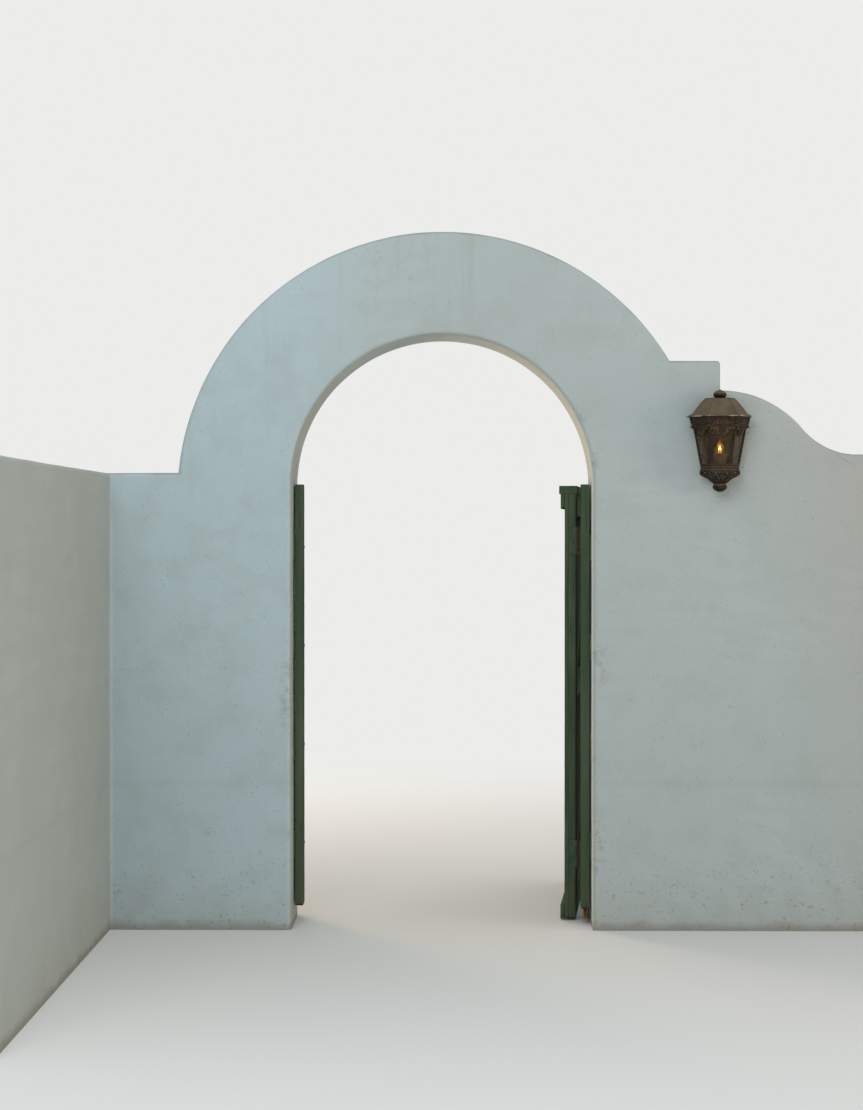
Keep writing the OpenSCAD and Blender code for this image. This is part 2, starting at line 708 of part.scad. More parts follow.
// Pierced skirt that draws in under the ring as an ogee
module lantern_skirt() color(BRONZE) at_lantern() before_wall() difference() {
  hex_stack(skirt_levels);
  hex_stack(skirt_levels, 2 * sheet_t);
  hexagon(-ring_h - skirt_h - eps, 2 * eps, skirt_foot_r - 2 * sheet_t, skirt_foot_r - 2 * sheet_t);
  on_facets() for (row = skirt_rows, i = row[1])
    translate([i * skirt_pierce_pitch, 0, -ring_h - row[0] * skirt_h])
      rotate([-skirt_pierce_angle, 0, 0]) cylinder(d = piercing_d, h = ring_r, $fn = 16);
}

// Turned finial, drawn out to a small point below
module lantern_finial() color(BRONZE) at_lantern() translate([0, 0, -ring_h - skirt_h])
  mirror([0, 0, 1]) turned(finial_profile, finial_r, finial_h);

module lantern_cup() color(CANDLE) at_lantern() difference() {
  cylinder(r1 = cup_r - cup_taper, r2 = cup_r, h = cup_h, $fn = 48);
  translate([0, 0, cup_h - cup_bowl]) cylinder(r = cup_r - 2 * sheet_t, h = cup_h, $fn = 48);
}

// Flame-shaped bulb standing in the cup
module lantern_bulb() color(AMBER) at_lantern() translate([0, 0, cup_h - cup_bowl])
  turned(bulb_profile, bulb_r, bulb_h);

return_wall();
wall_corner();
left_wall();
latch_pier();
left_haunch();
crown();
right_haunch();
hinge_pier();
shoulder();
right_wall();
latch_post();
hinge_post();
latch_post_packers();
hinge_post_packers();
hinge_stile();
latch_stile();
top_rail();
middle_rail();
bottom_rail();
upper_brace();
lower_brace();
boards();
gate_cap();
top_trim();
bottom_trim();
upper_hinge_post_plate();
upper_hinge_gate_plate();
upper_hinge_pin();
lower_hinge_post_plate();
lower_hinge_gate_plate();
lower_hinge_pin();
lantern_backplate();
lantern_cage();
lantern_glass();
lantern_gallery();
lantern_roof();
lantern_knob();
lantern_ring();
lantern_skirt();
lantern_finial();
lantern_cup();
lantern_bulb();
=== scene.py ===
# Arched garden gateway: the plastered wall, its painted timber gate and the hexagonal
# lantern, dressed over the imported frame. Metres, in the frame's own axes.
import math
import random

import bmesh
import bpy
from mathutils import Euler, Matrix, Vector, noise


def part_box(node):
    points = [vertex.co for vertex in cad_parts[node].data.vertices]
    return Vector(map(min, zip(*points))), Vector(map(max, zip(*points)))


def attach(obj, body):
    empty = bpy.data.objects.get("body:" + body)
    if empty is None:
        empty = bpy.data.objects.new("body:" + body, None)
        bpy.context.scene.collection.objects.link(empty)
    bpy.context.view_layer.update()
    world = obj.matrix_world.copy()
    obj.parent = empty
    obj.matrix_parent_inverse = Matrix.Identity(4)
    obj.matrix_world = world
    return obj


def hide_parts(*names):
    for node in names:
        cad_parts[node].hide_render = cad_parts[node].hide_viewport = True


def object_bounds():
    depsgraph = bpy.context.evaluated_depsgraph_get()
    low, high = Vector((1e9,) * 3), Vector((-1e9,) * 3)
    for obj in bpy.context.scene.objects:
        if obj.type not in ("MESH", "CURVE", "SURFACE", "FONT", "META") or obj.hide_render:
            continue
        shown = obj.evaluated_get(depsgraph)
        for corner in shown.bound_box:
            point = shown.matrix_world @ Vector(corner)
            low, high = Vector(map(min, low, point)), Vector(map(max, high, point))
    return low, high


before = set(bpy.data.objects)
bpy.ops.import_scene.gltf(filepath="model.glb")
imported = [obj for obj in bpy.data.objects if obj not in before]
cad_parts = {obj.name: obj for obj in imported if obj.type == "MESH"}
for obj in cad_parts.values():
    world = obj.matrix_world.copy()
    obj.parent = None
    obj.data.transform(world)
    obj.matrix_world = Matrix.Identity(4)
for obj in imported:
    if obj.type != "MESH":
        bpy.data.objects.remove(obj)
cad_box = [list(corner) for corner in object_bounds()]

# Viewpoint: eye height 1.62 m, ten metres in front of the wall and a little left of the
# hinge pier, with the long side of the picture upright. Its turns are in degrees.
eye_place = (-0.7905, -10.0, 1.622)
turned_down, turned_left = 0.547, 0.725


def link_object(name, data):
    """A new object of the scene, at the origin."""
    made = bpy.data.objects.new(name, data)
    bpy.context.scene.collection.objects.link(made)
    return made


lens = bpy.data.cameras.new("viewpoint")
lens.lens = 78.2
lens.clip_end = 200
viewpoint = link_object("viewpoint", lens)
viewpoint.location = eye_place
viewpoint.rotation_euler = Euler((math.radians(90 - turned_down), 0, math.radians(turned_left)))
bpy.context.scene.camera = viewpoint
bpy.context.scene.view_settings.view_transform = "Standard"

# Studio: a pale floor that runs out into a pale surround, a broad cool light from the
# front left, and warm ones from the garden side and from the right.
floor_radius, floor_sides = 60, 64
floor_fade = (0.8, 7.5)
pale_levels = (236, 237, 234)


class Wire:
    """A socket of a node tree. Arithmetic on it adds Math nodes; node() adds any other."""

    def __init__(self, tree, socket=None):
        self.tree, self.socket = tree, socket

    def node(self, kind, settings=None, sockets=None, out=0):
        made = self.tree.nodes.new(kind)
        for name, value in (settings or {}).items():
            setattr(made, name, value)
        for key, value in (sockets or {}).items():
            if isinstance(value, Wire):
                self.tree.links.new(value.socket, made.inputs[key])
            else:
                made.inputs[key].default_value = value
        return Wire(self.tree, made.outputs[out] if made.outputs else None)

    def out(self, key):
        return Wire(self.tree, self.socket.node.outputs[key])

    def maths(self, operation, *values):
        return self.node("ShaderNodeMath", {"operation": operation}, dict(enumerate(values)))

    def vectors(self, operation, *values, out=0):
        return self.node("ShaderNodeVectorMath", {"operation": operation}, dict(enumerate(values)), out)

    def __add__(self, other):
        return self.maths("ADD", self, other)

    def __sub__(self, other):
        return self.maths("SUBTRACT", self, other)

    def __rsub__(self, other):
        return self.maths("SUBTRACT", other, self)

    def __mul__(self, other):
        return self.maths("MULTIPLY", self, other)

    __radd__, __rmul__ = __add__, __mul__


def material_wire(name):
    """A new material without nodes, and the wire that its nodes are added with."""
    material = bpy.data.materials.new(name)
    material.use_nodes = True
    material.node_tree.nodes.clear()
    return material, Wire(material.node_tree)


def object_place(w):
    return w.node("ShaderNodeTexCoord", out="Object")


def rgb(red, green, blue):
    """Colour of the shader for sRGB levels from 0 to 255."""
    return tuple(pow((level / 255 + 0.055) / 1.055, 2.4) for level in (red, green, blue)) + (1,)


def soft_step(value, low, high):
    return value.node("ShaderNodeMapRange", {"interpolation_type": "SMOOTHSTEP"},
                      {"Value": value, "From Min": low, "From Max": high})


floor_mesh = bmesh.new()
bmesh.ops.create_circle(floor_mesh, cap_ends=True, radius=floor_radius, segments=floor_sides)
floor = link_object("floor", bpy.data.meshes.new("floor"))
floor_mesh.to_mesh(floor.data)
pale = rgb(*pale_levels)
floor_paint, w = material_wire("floor_paint")
reach = w.vectors("LENGTH", object_place(w), out="Value")
far = w.node("ShaderNodeEmission", {}, {"Color": pale})
near = w.node("ShaderNodeBsdfDiffuse", {}, {"Color": rgb(222, 221, 216)})
faded = w.node("ShaderNodeMixShader", {}, {0: soft_step(reach, *floor_fade), 1: near, 2: far})
w.node("ShaderNodeOutputMaterial", {}, {"Surface": faded})
floor.data.materials.append(floor_paint)

surround = bpy.data.worlds.new("surround")
surround.use_nodes = True
surround.node_tree.nodes.clear()
w = Wire(surround.node_tree)
paths = w.node("ShaderNodeLightPath", out="Is Camera Ray")
seen = w.maths("MAXIMUM", paths, paths.out("Is Glossy Ray"))
seen = w.maths("MAXIMUM", seen, paths.out("Is Transmission Ray"))
shade = w.node("ShaderNodeBackground", {}, {"Color": (0.86, 0.93, 1.0, 1), "Strength": 0.60})
plain = w.node("ShaderNodeBackground", {}, {"Color": pale, "Strength": 1.0})
both = w.node("ShaderNodeMixShader", {}, {0: seen, 1: shade, 2: plain})
w.node("ShaderNodeOutputWorld", {}, {"Surface": both})
bpy.context.scene.world = surround

# Each lamp: its place, the height that it aims at, its size, its power and its tint
for name, place, aim_height, size, power, tint in (
        ("front_light", (-2.0, -5.8, 4.8), 1.5, 3.4, 138, (0.90, 0.97, 1.0)),
        ("garden_light", (-3.5, 6.5, 4.2), 1.5, 4.0, 120, (1.0, 0.86, 0.70)),
        ("low_garden_light", (-6.2, 7.6, 1.1), 2.6, 2.0, 620, (1.0, 0.66, 0.36)),
        ("side_light", (8.0, -4.5, 2.4), 1.5, 2.6, 150, (1.0, 0.82, 0.66)),
        ("end_light", (3.6, -1.5, 1.4), 1.5, 1.0, 5, (1.0, 0.62, 0.36))):
    lamp = bpy.data.lights.new(name, "AREA")
    lamp.size, lamp.energy, lamp.color = size, power, tint
    light = link_object(name, lamp)
    light.location = place
    aim = Vector((-0.5, 0, aim_height))
    light.rotation_euler = (aim - Vector(place)).to_track_quat("-Z", "Y").to_euler()

# Wall: masonry under one coat of pale sand-finished cement plaster, floated by hand, so
# that its faces wander by a millimetre or two and its arrises are rubbed round. The skin
# follows the frame's ten blocks and closes their joints.
masonry = ["return_wall", "wall_corner", "left_wall", "latch_pier", "left_haunch", "crown",
           "right_haunch", "hinge_pier", "shoulder", "right_wall"]
plaster_pitch, chip_pitch = 0.026, 0.005
wander, ripple, dimple = 0.0016, 0.0009, 0.0004
weld, seam_weld, flat_angle, mend_rounds = 2e-5, 0.0014, 0.8, 8
street_y, garden_y = -0.200, 0.200
latch_x, hinge_x = -1.4875, -0.2575
# Knocks on the arrises: place, radius and depth
knocks = [((-0.306, street_y, 2.079), 0.019, 0.008), ((hinge_x, street_y, 1.927), 0.013, 0.006),
          ((hinge_x, -0.197, 1.893), 0.020, 0.009), ((hinge_x, street_y, 1.47), 0.010, 0.004),
          ((hinge_x, street_y, 1.12), 0.016, 0.006), ((hinge_x, street_y, 0.70), 0.012, 0.005),
          ((hinge_x, street_y, 0.24), 0.022, 0.008), ((hinge_x, garden_y, 0.46), 0.018, 0.007),
          ((latch_x, street_y, 0.38), 0.018, 0.007), ((latch_x, street_y, 1.31), 0.012, 0.005),
          ((latch_x, garden_y, 0.92), 0.018, 0.007), ((0.2575, street_y, 2.317), 0.016, 0.006)]


def cad_copy(node):
    """The node's solid with its loose triangles joined."""
    solid = bmesh.new()
    solid.from_mesh(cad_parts[node].data)
    bmesh.ops.remove_doubles(solid, verts=solid.verts, dist=1e-5)
    return solid


def new_piece(name, solid, *materials):
    """A finished object at the origin, from a bmesh that is used up."""
    mesh = bpy.data.meshes.new(name)
    solid.to_mesh(mesh)
    solid.free()
    for material in materials:
        mesh.materials.append(material)
    return link_object(name, mesh)


def hand_over(piece, body, slot, *nodes):
    """Gives a piece its body and hides the nodes that it stands for. The slot is not used."""
    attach(piece, body)
    if nodes:
        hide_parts(*nodes)
    return piece


def settle(piece):
    """Applies the piece's modifiers and removes them."""
    shown = piece.evaluated_get(bpy.context.evaluated_depsgraph_get())
    mesh = bpy.data.meshes.new_from_object(shown)
    piece.modifiers.clear()
    piece.data = mesh
    mesh.name = piece.name
    return piece


def flatten(solid, angle=1.0):
    """Joins faces that lie within the angle of one plane."""
    bmesh.ops.dissolve_limit(solid, angle_limit=math.radians(angle), verts=solid.verts, edges=solid.edges)


def plane_cut(solid, point, normal, **options):
    bmesh.ops.bisect_plane(solid, geom=solid.verts[:] + solid.edges[:] + solid.faces[:],
                           plane_co=point, plane_no=normal, **options)


def grid_cut(solid, pitch):
    """Cuts the faces along planes a pitch apart, so that they can be bent and worn."""
    for axis in range(3):
        places = [v.co[axis] for v in solid.verts]
        low, count = min(places), math.ceil((max(places) - min(places)) / pitch)
        normal = Vector([float(i == axis) for i in range(3)])
        for i in range(1, count):
            plane_cut(solid, normal * (low + i * pitch), normal, dist=1e-6)


def add_block(solid, centre, spans, turn=Matrix()):
    """Adds a block round its centre, or round that centre carried on by a turn."""
    placing = turn @ Matrix.Translation(centre) @ Matrix.Diagonal((*spans, 1))
    bmesh.ops.create_cube(solid, size=1, matrix=placing)


def noise_fac(place, scale, detail=3.0, roughness=0.5):
    return place.node("ShaderNodeTexNoise", {}, {
        "Vector": place, "Scale": scale, "Detail": detail, "Roughness": roughness}, out="Fac")


def stretched(place, x, y, z):
    return place.vectors("MULTIPLY", place, (x, y, z))


def streak_fac(place, x, y, z, detail=3, roughness=0.5):
    """Noise whose scale differs along the three axes."""
    return noise_fac(stretched(place, x, y, z), 1.0, detail, roughness)


def cell_fac(place, scale):
    return place.node("ShaderNodeTexVoronoi", {}, {"Vector": place, "Scale": scale, "Randomness": 1.0})


def axis_of(place, key):
    return place.node("ShaderNodeSeparateXYZ", {}, {0: place}, out=key)


def spot(place, centre, radii):
    """1 in the middle of an ellipsoid and 0 from its edge on."""
    scaled = stretched(place.vectors("SUBTRACT", place, centre), *(1 / r for r in radii))
    return soft_step(scaled.vectors("LENGTH", scaled, out="Value"), 1.0, 0.25)


def colour_mix(mask, first, second):
    return mask.node("ShaderNodeMix", {"data_type": "RGBA"}, {0: mask, 6: first, 7: second}, out=2)


def coated(base, *coats):
    """Lays coats over a base; each is a mask and its sRGB levels."""
    colour = rgb(*base)
    for mask, *levels in coats:
        colour = colour_mix(mask, colour, rgb(*levels))
    return colour


def bumped(height, distance):
    return height.node("ShaderNodeBump", {}, {"Height": height, "Distance": distance})


def finish_surface(w, colour, roughness, normal, **constants):
    """Principled surface at the end of a material; constants sit on the shader's own sockets."""
    inputs = {"Base Color": colour, "Roughness": roughness, "Normal": normal}
    inputs.update({key.replace("_", " "): value for key, value in constants.items()})
    surface = w.node("ShaderNodeBsdfPrincipled", {}, inputs)
    w.node("ShaderNodeOutputMaterial", {}, {"Surface": surface})


plaster, w = material_wire("sand_finished_plaster")
place = object_place(w)
along, height_z = axis_of(place, "X"), axis_of(place, "Z")
facing = w.node("ShaderNodeNewGeometry", out="Normal")
up_facing, front_facing = axis_of(facing, "Z"), soft_step(axis_of(facing, "Y"), -0.5, -0.8)
# Coat: sand, the arcs of the float, pimples and pits
cloud, blotch = noise_fac(place, 0.8, 3), noise_fac(place, 5.5, 5, 0.6)
sand, grit = noise_fac(place, 210, 2, 0.6), noise_fac(place, 520, 1)
float_arcs = w.node("ShaderNodeTexWave", {"wave_type": "RINGS", "rings_direction": "Y"}, {
    "Vector": stretched(place, 1, 0.4, 1.6), "Scale": 2.1, "Distortion": 9.0, "Detail": 4.0,
    "Detail Scale": 1.3, "Detail Roughness": 0.62}, out="Fac")
float_lift = soft_step(noise_fac(place, 1.9, 2), 0.46, 0.66)
pimple_lift = soft_step(cell_fac(place, 46.0), 0.30, 0.08) * soft_step(noise_fac(place, 17, 2), 0.50, 0.62)
pit_fall = soft_step(cell_fac(place, 21.0), 0.050, 0.020) * soft_step(noise_fac(place, 6.3, 2), 0.60, 0.66)
# Painted light on the street face: sky light on its left and warm light on its right
painted_sky_light_left = front_facing * soft_step(along, -0.9, -1.6)
warm_light_reach = along + height_z * 0.25 + noise_fac(place, 1.6, 2) * 0.12
painted_warm_light_right = front_facing * soft_step(warm_light_reach, 0.64, 1.50)
# Painted light: the faces turned to +X are warmer, for the warm light on them
painted_warm_light_side = soft_step(axis_of(facing, "X"), 0.5, 0.9)
# One hairline crack on the street face, below the shoulder
across = (along - 0.776) * 0.53 + (height_z - 1.906) * 0.85 + (noise_fac(place, 23, 3) - 0.5) * 0.012
crack = soft_step(across.maths("ABSOLUTE", across), 0.0016, 0.0005) \
    * spot(place, (0.768, street_y, 1.912), (0.08, 0.1, 0.08))
# Dirt: splashed and damp at the foot, washed down from the top, and rubbed on by hands
low_dirt = soft_step(height_z + noise_fac(place, 6, 4) * 0.34, 0.44, 0.10)
splash = soft_step(noise_fac(place, 62, 3, 0.6), 0.60, 0.70) * soft_step(height_z, 0.55, 0.05)
damp = soft_step(height_z + noise_fac(place, 9, 3) * 0.05, 0.075, 0.03)
off_band = height_z - 0.61 + noise_fac(place, 1.2, 2) * 0.02
band = soft_step(off_band.maths("ABSOLUTE", off_band), 0.02, 0.004)
streak = soft_step(streak_fac(place, 26, 26, 0.9, 4, 0.6), 0.56, 0.74)
ledge_dirt = soft_step(up_facing, 0.25, 0.9)
rubbed_spots_and_rim_highlight = spot(place, (-0.225, street_y, 1.08), (0.05, 0.05, 0.12)) \
    + spot(place, (-0.24, street_y, 0.33), (0.05, 0.06, 0.2)) \
    + spot(place, (-1.50, street_y, 0.95), (0.05, 0.06, 0.25))
smudge = rubbed_spots_and_rim_highlight * soft_step(noise_fac(place, 38, 4, 0.65), 0.48, 0.62)
colour = coated(
    (179, 187, 184),
    (cloud, 170, 180, 178),
    # Painted light: the next two coats are sky light on the left of the street face and warm light on its
    # right
    (painted_sky_light_left * 0.95, 179, 195, 199),
    (painted_warm_light_right * 0.6, 172, 165, 155),
    # Painted light: warm light on the faces turned to +X
    (painted_warm_light_side * 0.6, 172, 174, 161),
    (soft_step(blotch, 0.42, 0.72) * 0.36, 162, 169, 164),
    (float_arcs * float_lift * 0.16, 188, 196, 194),
    (grit * 0.10, 150, 156, 155),
    (streak * soft_step(height_z, 1.2, 2.6) * 0.16, 142, 142, 132),
    (low_dirt * 0.30, 160, 152, 134),
    (band * 0.10, 150, 152, 146),
    (splash * 0.42, 122, 104, 80),
    (damp * 0.45, 112, 100, 82),
    (ledge_dirt * soft_step(blotch, 0.30, 0.62) * 0.42, 128, 124, 108),
    (smudge * 0.34, 136, 116, 98),
    (pit_fall * 0.4, 122, 112, 98),
    (crack * 0.5, 196, 192, 186))
lift = sand * 0.5 + grit * 0.2 + pimple_lift * 0.7 + float_arcs * float_lift * 0.9 \
    - pit_fall * 1.4 - crack * 0.8
finish_surface(w, colour, 0.96 - blotch * 0.10, bumped(lift, 0.0022), Specular_IOR_Level=0.35)

blocks = [new_piece("block_" + node, cad_copy(node)) for node in masonry]
# The haunch's rounded corner runs on down beside the shoulder; plaster fills it there.
shoulder_low, shoulder_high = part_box("shoulder")
haunch_foot, corner_round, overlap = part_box("right_haunch")[0].z, 0.016, 0.002
filled_h = shoulder_high.z - corner_round - haunch_foot
corner_fill = bmesh.new()
add_block(corner_fill, (shoulder_low.x - corner_round / 2, 0, haunch_foot + filled_h / 2),
          (corner_round + overlap, shoulder_high.y - shoulder_low.y, filled_h))
blocks.append(new_piece("corner_fill", corner_fill))
wall_skin = blocks[0]
for block in blocks[1:]:
    union = wall_skin.modifiers.new(block.name, "BOOLEAN")
    union.operation, union.solver, union.object = "UNION", "EXACT", block
settle(wall_skin)
wall_skin.name = "plaster_skin"
for block in blocks[1:]:
    bpy.data.objects.remove(block)

# The union leaves slivers in the joints of the blocks. Their points are merged, and the
# faces at each edge that is still torn are taken out and filled again.
skin = bmesh.new()
skin.from_mesh(wall_skin.data)
bmesh.ops.remove_doubles(skin, verts=skin.verts, dist=weld)
bmesh.ops.dissolve_degenerate(skin, edges=skin.edges, dist=weld / 2)
loose_seam = dict.fromkeys(v for e in skin.edges if not e.is_manifold for v in e.verts)
bmesh.ops.remove_doubles(skin, verts=list(loose_seam), dist=seam_weld)
for turn in range(mend_rounds):
    torn = dict.fromkeys(f for e in skin.edges if not e.is_manifold for f in e.link_faces)
    bmesh.ops.delete(skin, geom=list(torn), context="FACES")
    bmesh.ops.holes_fill(skin, edges=[e for e in skin.edges if e.is_boundary], sides=0)
flatten(skin, flat_angle)
grid_cut(skin, plaster_pitch)
for centre, radius, depth in knocks:
    near = [e for e in skin.edges if e.calc_length() > chip_pitch
            and min((v.co - Vector(centre)).length for v in e.verts) < radius + 0.01]
    bmesh.ops.subdivide_edges(skin, edges=near, cuts=math.ceil(plaster_pitch / chip_pitch) - 1,
                              use_grid_fill=True)
bmesh.ops.triangulate(skin, faces=[f for f in skin.faces if len(f.verts) > 4])
skin.normal_update()
for v in skin.verts:
    if v.co.z > 0.001:
        depth = wander * noise.noise(v.co * 1.3) + ripple * noise.noise(v.co * 4.7) \
            + dimple * noise.noise(v.co * 21)
        for centre, radius, bite in knocks:
            reach = (v.co - Vector(centre)).length + 0.35 * radius * noise.noise(v.co * 110)
            if reach < radius:
                depth -= bite * (1 - (reach / radius) ** 2) ** 0.5 * (0.75 + 0.5 * noise.noise(v.co * 260))
        moved = v.co + v.normal * depth
        v.co = [max(low, min(high, moved[i])) for i, (low, high) in enumerate(zip(*cad_box))]
skin.to_mesh(wall_skin.data)
skin.free()
wall_skin.data.materials.append(plaster)
for polygon in wall_skin.data.polygons:
    polygon.use_smooth = True
evened = wall_skin.modifiers.new("evened_normals", "WEIGHTED_NORMAL")
evened.keep_sharp = False
settle(wall_skin)
hand_over(wall_skin, "wall", "plaster", *masonry)

# Timber: sawn softwood under several coats of dark green paint. All but the boards are
# dressed from their frame solids, with the grain along one axis; the edges are rubbed, and
# an end that stands near the floor is worn short and has gone soft.
timber_pitch = 0.011
edge_rub, edge_reach, face_rub = 0.0009, 0.005, 0.00025
decay_reach = 0.22


def timber_mesh(solid, grain_axis, seed, feather=0.0, shrink=0.0):
    """Wears a box-shaped solid and writes the grain, edge and decay attributes on it.

    grain_axis is the number of the axis along the grain; the foot, which is the low end
    of that axis, is worn short by feather and drawn in by shrink."""
    flatten(solid)
    grid_cut(solid, timber_pitch)
    solid.normal_update()
    low = Vector([min(v.co[i] for v in solid.verts) for i in range(3)])
    high = Vector([max(v.co[i] for v in solid.verts) for i in range(3)])
    middle = (low + high) / 2
    grain = solid.verts.layers.float_vector.new("grain")
    edge = solid.verts.layers.float.new("edge")
    decay = solid.verts.layers.float.new("decay")
    rng = random.Random(seed)
    pith = Vector((rng.uniform(0, 9), rng.uniform(0.03, 0.09), rng.uniform(-0.05, 0.05)))
    across, over = [i for i in range(3) if i != grain_axis]
    for v in solid.verts:
        to_edge = sorted(min(v.co[i] - low[i], high[i] - v.co[i]) for i in range(3))[1]
        above = v.co[grain_axis] - low[grain_axis]
        v[edge] = to_edge
        v[grain] = pith + Vector((v.co[grain_axis], v.co[across] - middle[across], v.co[over] - middle[over]))
        v[decay] = max(0.0, 1 - above / decay_reach) if feather else 0.0
        key = v.co + Vector((seed * 3.7, 0, 0))
        wear = edge_rub * max(0.0, 1 - to_edge / edge_reach) * max(0.0, 0.55 + 0.9 * noise.noise(key * 31))
        wear += face_rub * (1 + noise.noise(key * 9))
        v.co -= v.normal * wear
        if feather:
            near = max(0.0, 1 - above / (3.2 * feather))
            ragged = 0.5 + 0.55 * noise.noise(key * 42) + 0.3 * noise.noise(key * 130)
            v.co[grain_axis] += near * feather * ragged
            for i in (across, over):
                v.co[i] += (middle[i] - v.co[i]) * near * near * shrink / max(high[i] - low[i], 0.01) * 2
    return solid


green_paint, w = material_wire("weathered_green_paint")
grain, edge, decay = (w.node("ShaderNodeAttribute", {"attribute_name": name}, out=out)
                      for name, out in (("grain", "Vector"), ("edge", "Fac"), ("decay", "Fac")))
up_facing = axis_of(w.node("ShaderNodeNewGeometry", out="Normal"), "Z")
waver = w.node("ShaderNodeTexNoise", {}, {
    "Vector": stretched(grain, 1.1, 5, 5), "Scale": 1.0, "Detail": 2.0}, out="Color")
flow = w.vectors("ADD", stretched(grain, 0.05, 1, 1), stretched(waver, 0, 0.022, 0.022))
rings = w.node("ShaderNodeTexWave", {"wave_type": "RINGS", "rings_direction": "X"}, {
    "Vector": flow, "Scale": 68.0, "Distortion": 1.6, "Detail": 3.0, "Detail Scale": 2.2}, out="Fac")
fibre = streak_fac(grain, 14, 420, 420, 3, 0.6)
tone = streak_fac(grain, 1.4, 26, 26, 4, 0.6)
sun = streak_fac(grain, 2.2, 5, 5)
fleck = streak_fac(grain, 34, 120, 120, 3, 0.6)
checks = soft_step(streak_fac(grain, 5, 150, 150, 3, 0.7), 0.665, 0.715)
soft_end = soft_step(decay + (streak_fac(grain, 30, 60, 60, 4, 0.65) - 0.5) * 0.12, 0.955, 0.99)
splashed = soft_step(decay, 0.15, 0.95) * soft_step(streak_fac(grain, 40, 40, 40, 4, 0.65), 0.46, 0.66)
bare = soft_step(edge + streak_fac(grain, 16, 90, 90, 4, 0.7) * 0.011, 0.0062, 0.0032) \
    * soft_step(streak_fac(grain, 7, 7, 7), 0.44, 0.60)
dust = soft_step(up_facing, 0.35, 0.95)
colour = coated(
    (68, 84, 65),
    (soft_step(tone, 0.34, 0.66), 83, 96, 73),
    (soft_step(sun, 0.50, 0.72) * 0.45, 98, 108, 88),
    (rings * 0.16, 48, 62, 47),
    (soft_step(fleck, 0.66, 0.74) * 0.5, 96, 100, 80),
    (checks * 0.75, 28, 32, 26),
    (splashed * 0.5, 98, 84, 62),
    (dust * 0.55, 104, 104, 86),
    (bare * 0.8, 122, 106, 84))
colour = colour_mix(soft_end, colour, coated((92, 70, 46), (fibre, 46, 36, 26)))
lift = rings * 0.5 + fibre * 0.35 - checks * 1.3 - bare * 0.6 + fleck * 0.25
finish_surface(w, colour, 0.74 + tone * 0.16 + dust * 0.1, bumped(lift, 0.0006), Specular_IOR_Level=0.0)

# Jamb posts: one plank held to each reveal through packers, its foot cut clear of the
# floor. Plank and packers carry the same paint as the gate.
post_feather, post_shrink = 0.0035, 0.0012
for post in ("hinge_post", "latch_post"):
    plank = timber_mesh(cad_copy(post), 2, 18, post_feather, post_shrink)
    hand_over(new_piece(post + "_plank", plank, green_paint), "wall", "green_paint", post)
    packing = timber_mesh(cad_copy(post + "_packers"), 2, 5)
    hand_over(new_piece(post + "_blocks", packing, green_paint), "wall", "green_paint", post + "_packers")

# Gate leaf: two stiles and three rails with a brace in each bay, all of the same sawn
# timber, in coordinates with X along the leaf from the hinge, Y from its garden face to
# its street face and Z up. It stands 95 degrees open.
pin_low, pin_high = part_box("upper_hinge_pin")
hinge_line = Vector(((pin_low.x + pin_high.x) / 2, (pin_low.y + pin_high.y) / 2, 0))
open_angle = 95
knuckle_radius, pin_behind = 0.0065, 0.0115
stile_feather, leaf_shrink = 0.006, 0.001
leaf_place = Matrix.Translation(hinge_line) @ Matrix.Rotation(math.radians(180 - open_angle), 4, "Z") \
    @ Matrix.Translation((knuckle_radius, pin_behind, 0))


def leaf_copy(node):
    solid = cad_copy(node)
    solid.transform(leaf_place.inverted())
    return solid


def smooth_all(piece, angle=32):
    """Smooth shading with the edges sharper than the angle kept."""
    for polygon in piece.data.polygons:
        polygon.use_smooth = True
    solid = bmesh.new()
    solid.from_mesh(piece.data)
    for line in solid.edges:
        line.smooth = len(line.link_faces) != 2 or line.calc_face_angle(0) < math.radians(angle)
    solid.to_mesh(piece.data)
    solid.free()
    return piece


def hang_on_leaf(name, solid, *nodes):
    """A painted piece in the leaf's coordinates, put in its place and given to the leaf."""
    solid.transform(leaf_place)
    smooth_all(hand_over(new_piece(name, solid, green_paint), "gate_leaf", "green_paint", *nodes))


for seed, node in enumerate(("hinge_stile", "latch_stile", "top_rail", "middle_rail", "bottom_rail",
                             "gate_cap", "top_trim", "bottom_trim")):
    upright = node.endswith("stile")
    hang_on_leaf(node + "_timber", timber_mesh(leaf_copy(node), 2 if upright else 0, 11 + seed,
                                               stile_feather if upright else 0, leaf_shrink), node)

# Braces: cut to the slope of their bay. Each is worn in its own coordinates, with the
# grain along the slope.
for seed, node in enumerate(("upper_brace", "lower_brace")):
    solid = leaf_copy(node)
    by_reach = sorted(solid.verts, key=lambda v: v.co.x + v.co.z)
    run = by_reach[-1].co - by_reach[0].co
    tilt = Matrix.Rotation(math.atan2(run.z, run.x), 4, "Y")
    solid.transform(tilt)
    timber_mesh(solid, 0, 31 + seed)
    solid.transform(tilt.inverted())
    hang_on_leaf(node + "_timber", solid, node)

# Boards: eight upright boards with eased street edges that leave a V at every joint, and
# a tongue behind it. They are a little uneven in thickness and in length at the foot.
board_points = [leaf_place.inverted() @ v.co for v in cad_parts["boards"].data.vertices]
board_low, board_high = (Vector([pick(p[i] for p in board_points) for i in range(3)]) for pick in (min, max))
board_count, board_groove, board_gap, board_feather = 8, 0.003, 0.0012, 0.004
board_width = (board_high.x - board_low.x) / board_count
tongue_width, tongue_depth, tongue_back = 0.010, 0.004, 0.002
cladding = bmesh.new()


def push_faces(solid, faces, move):
    """Extrudes the faces and moves what has grown from them."""
    grown = bmesh.ops.extrude_face_region(solid, geom=faces)["geom"]
    bmesh.ops.translate(solid, verts=[v for v in grown if isinstance(v, bmesh.types.BMVert)], vec=move)


def add_cladding(solid):
    mesh = bpy.data.meshes.new("cladding")
    solid.to_mesh(mesh)
    solid.free()
    cladding.from_mesh(mesh)
    bpy.data.meshes.remove(mesh)


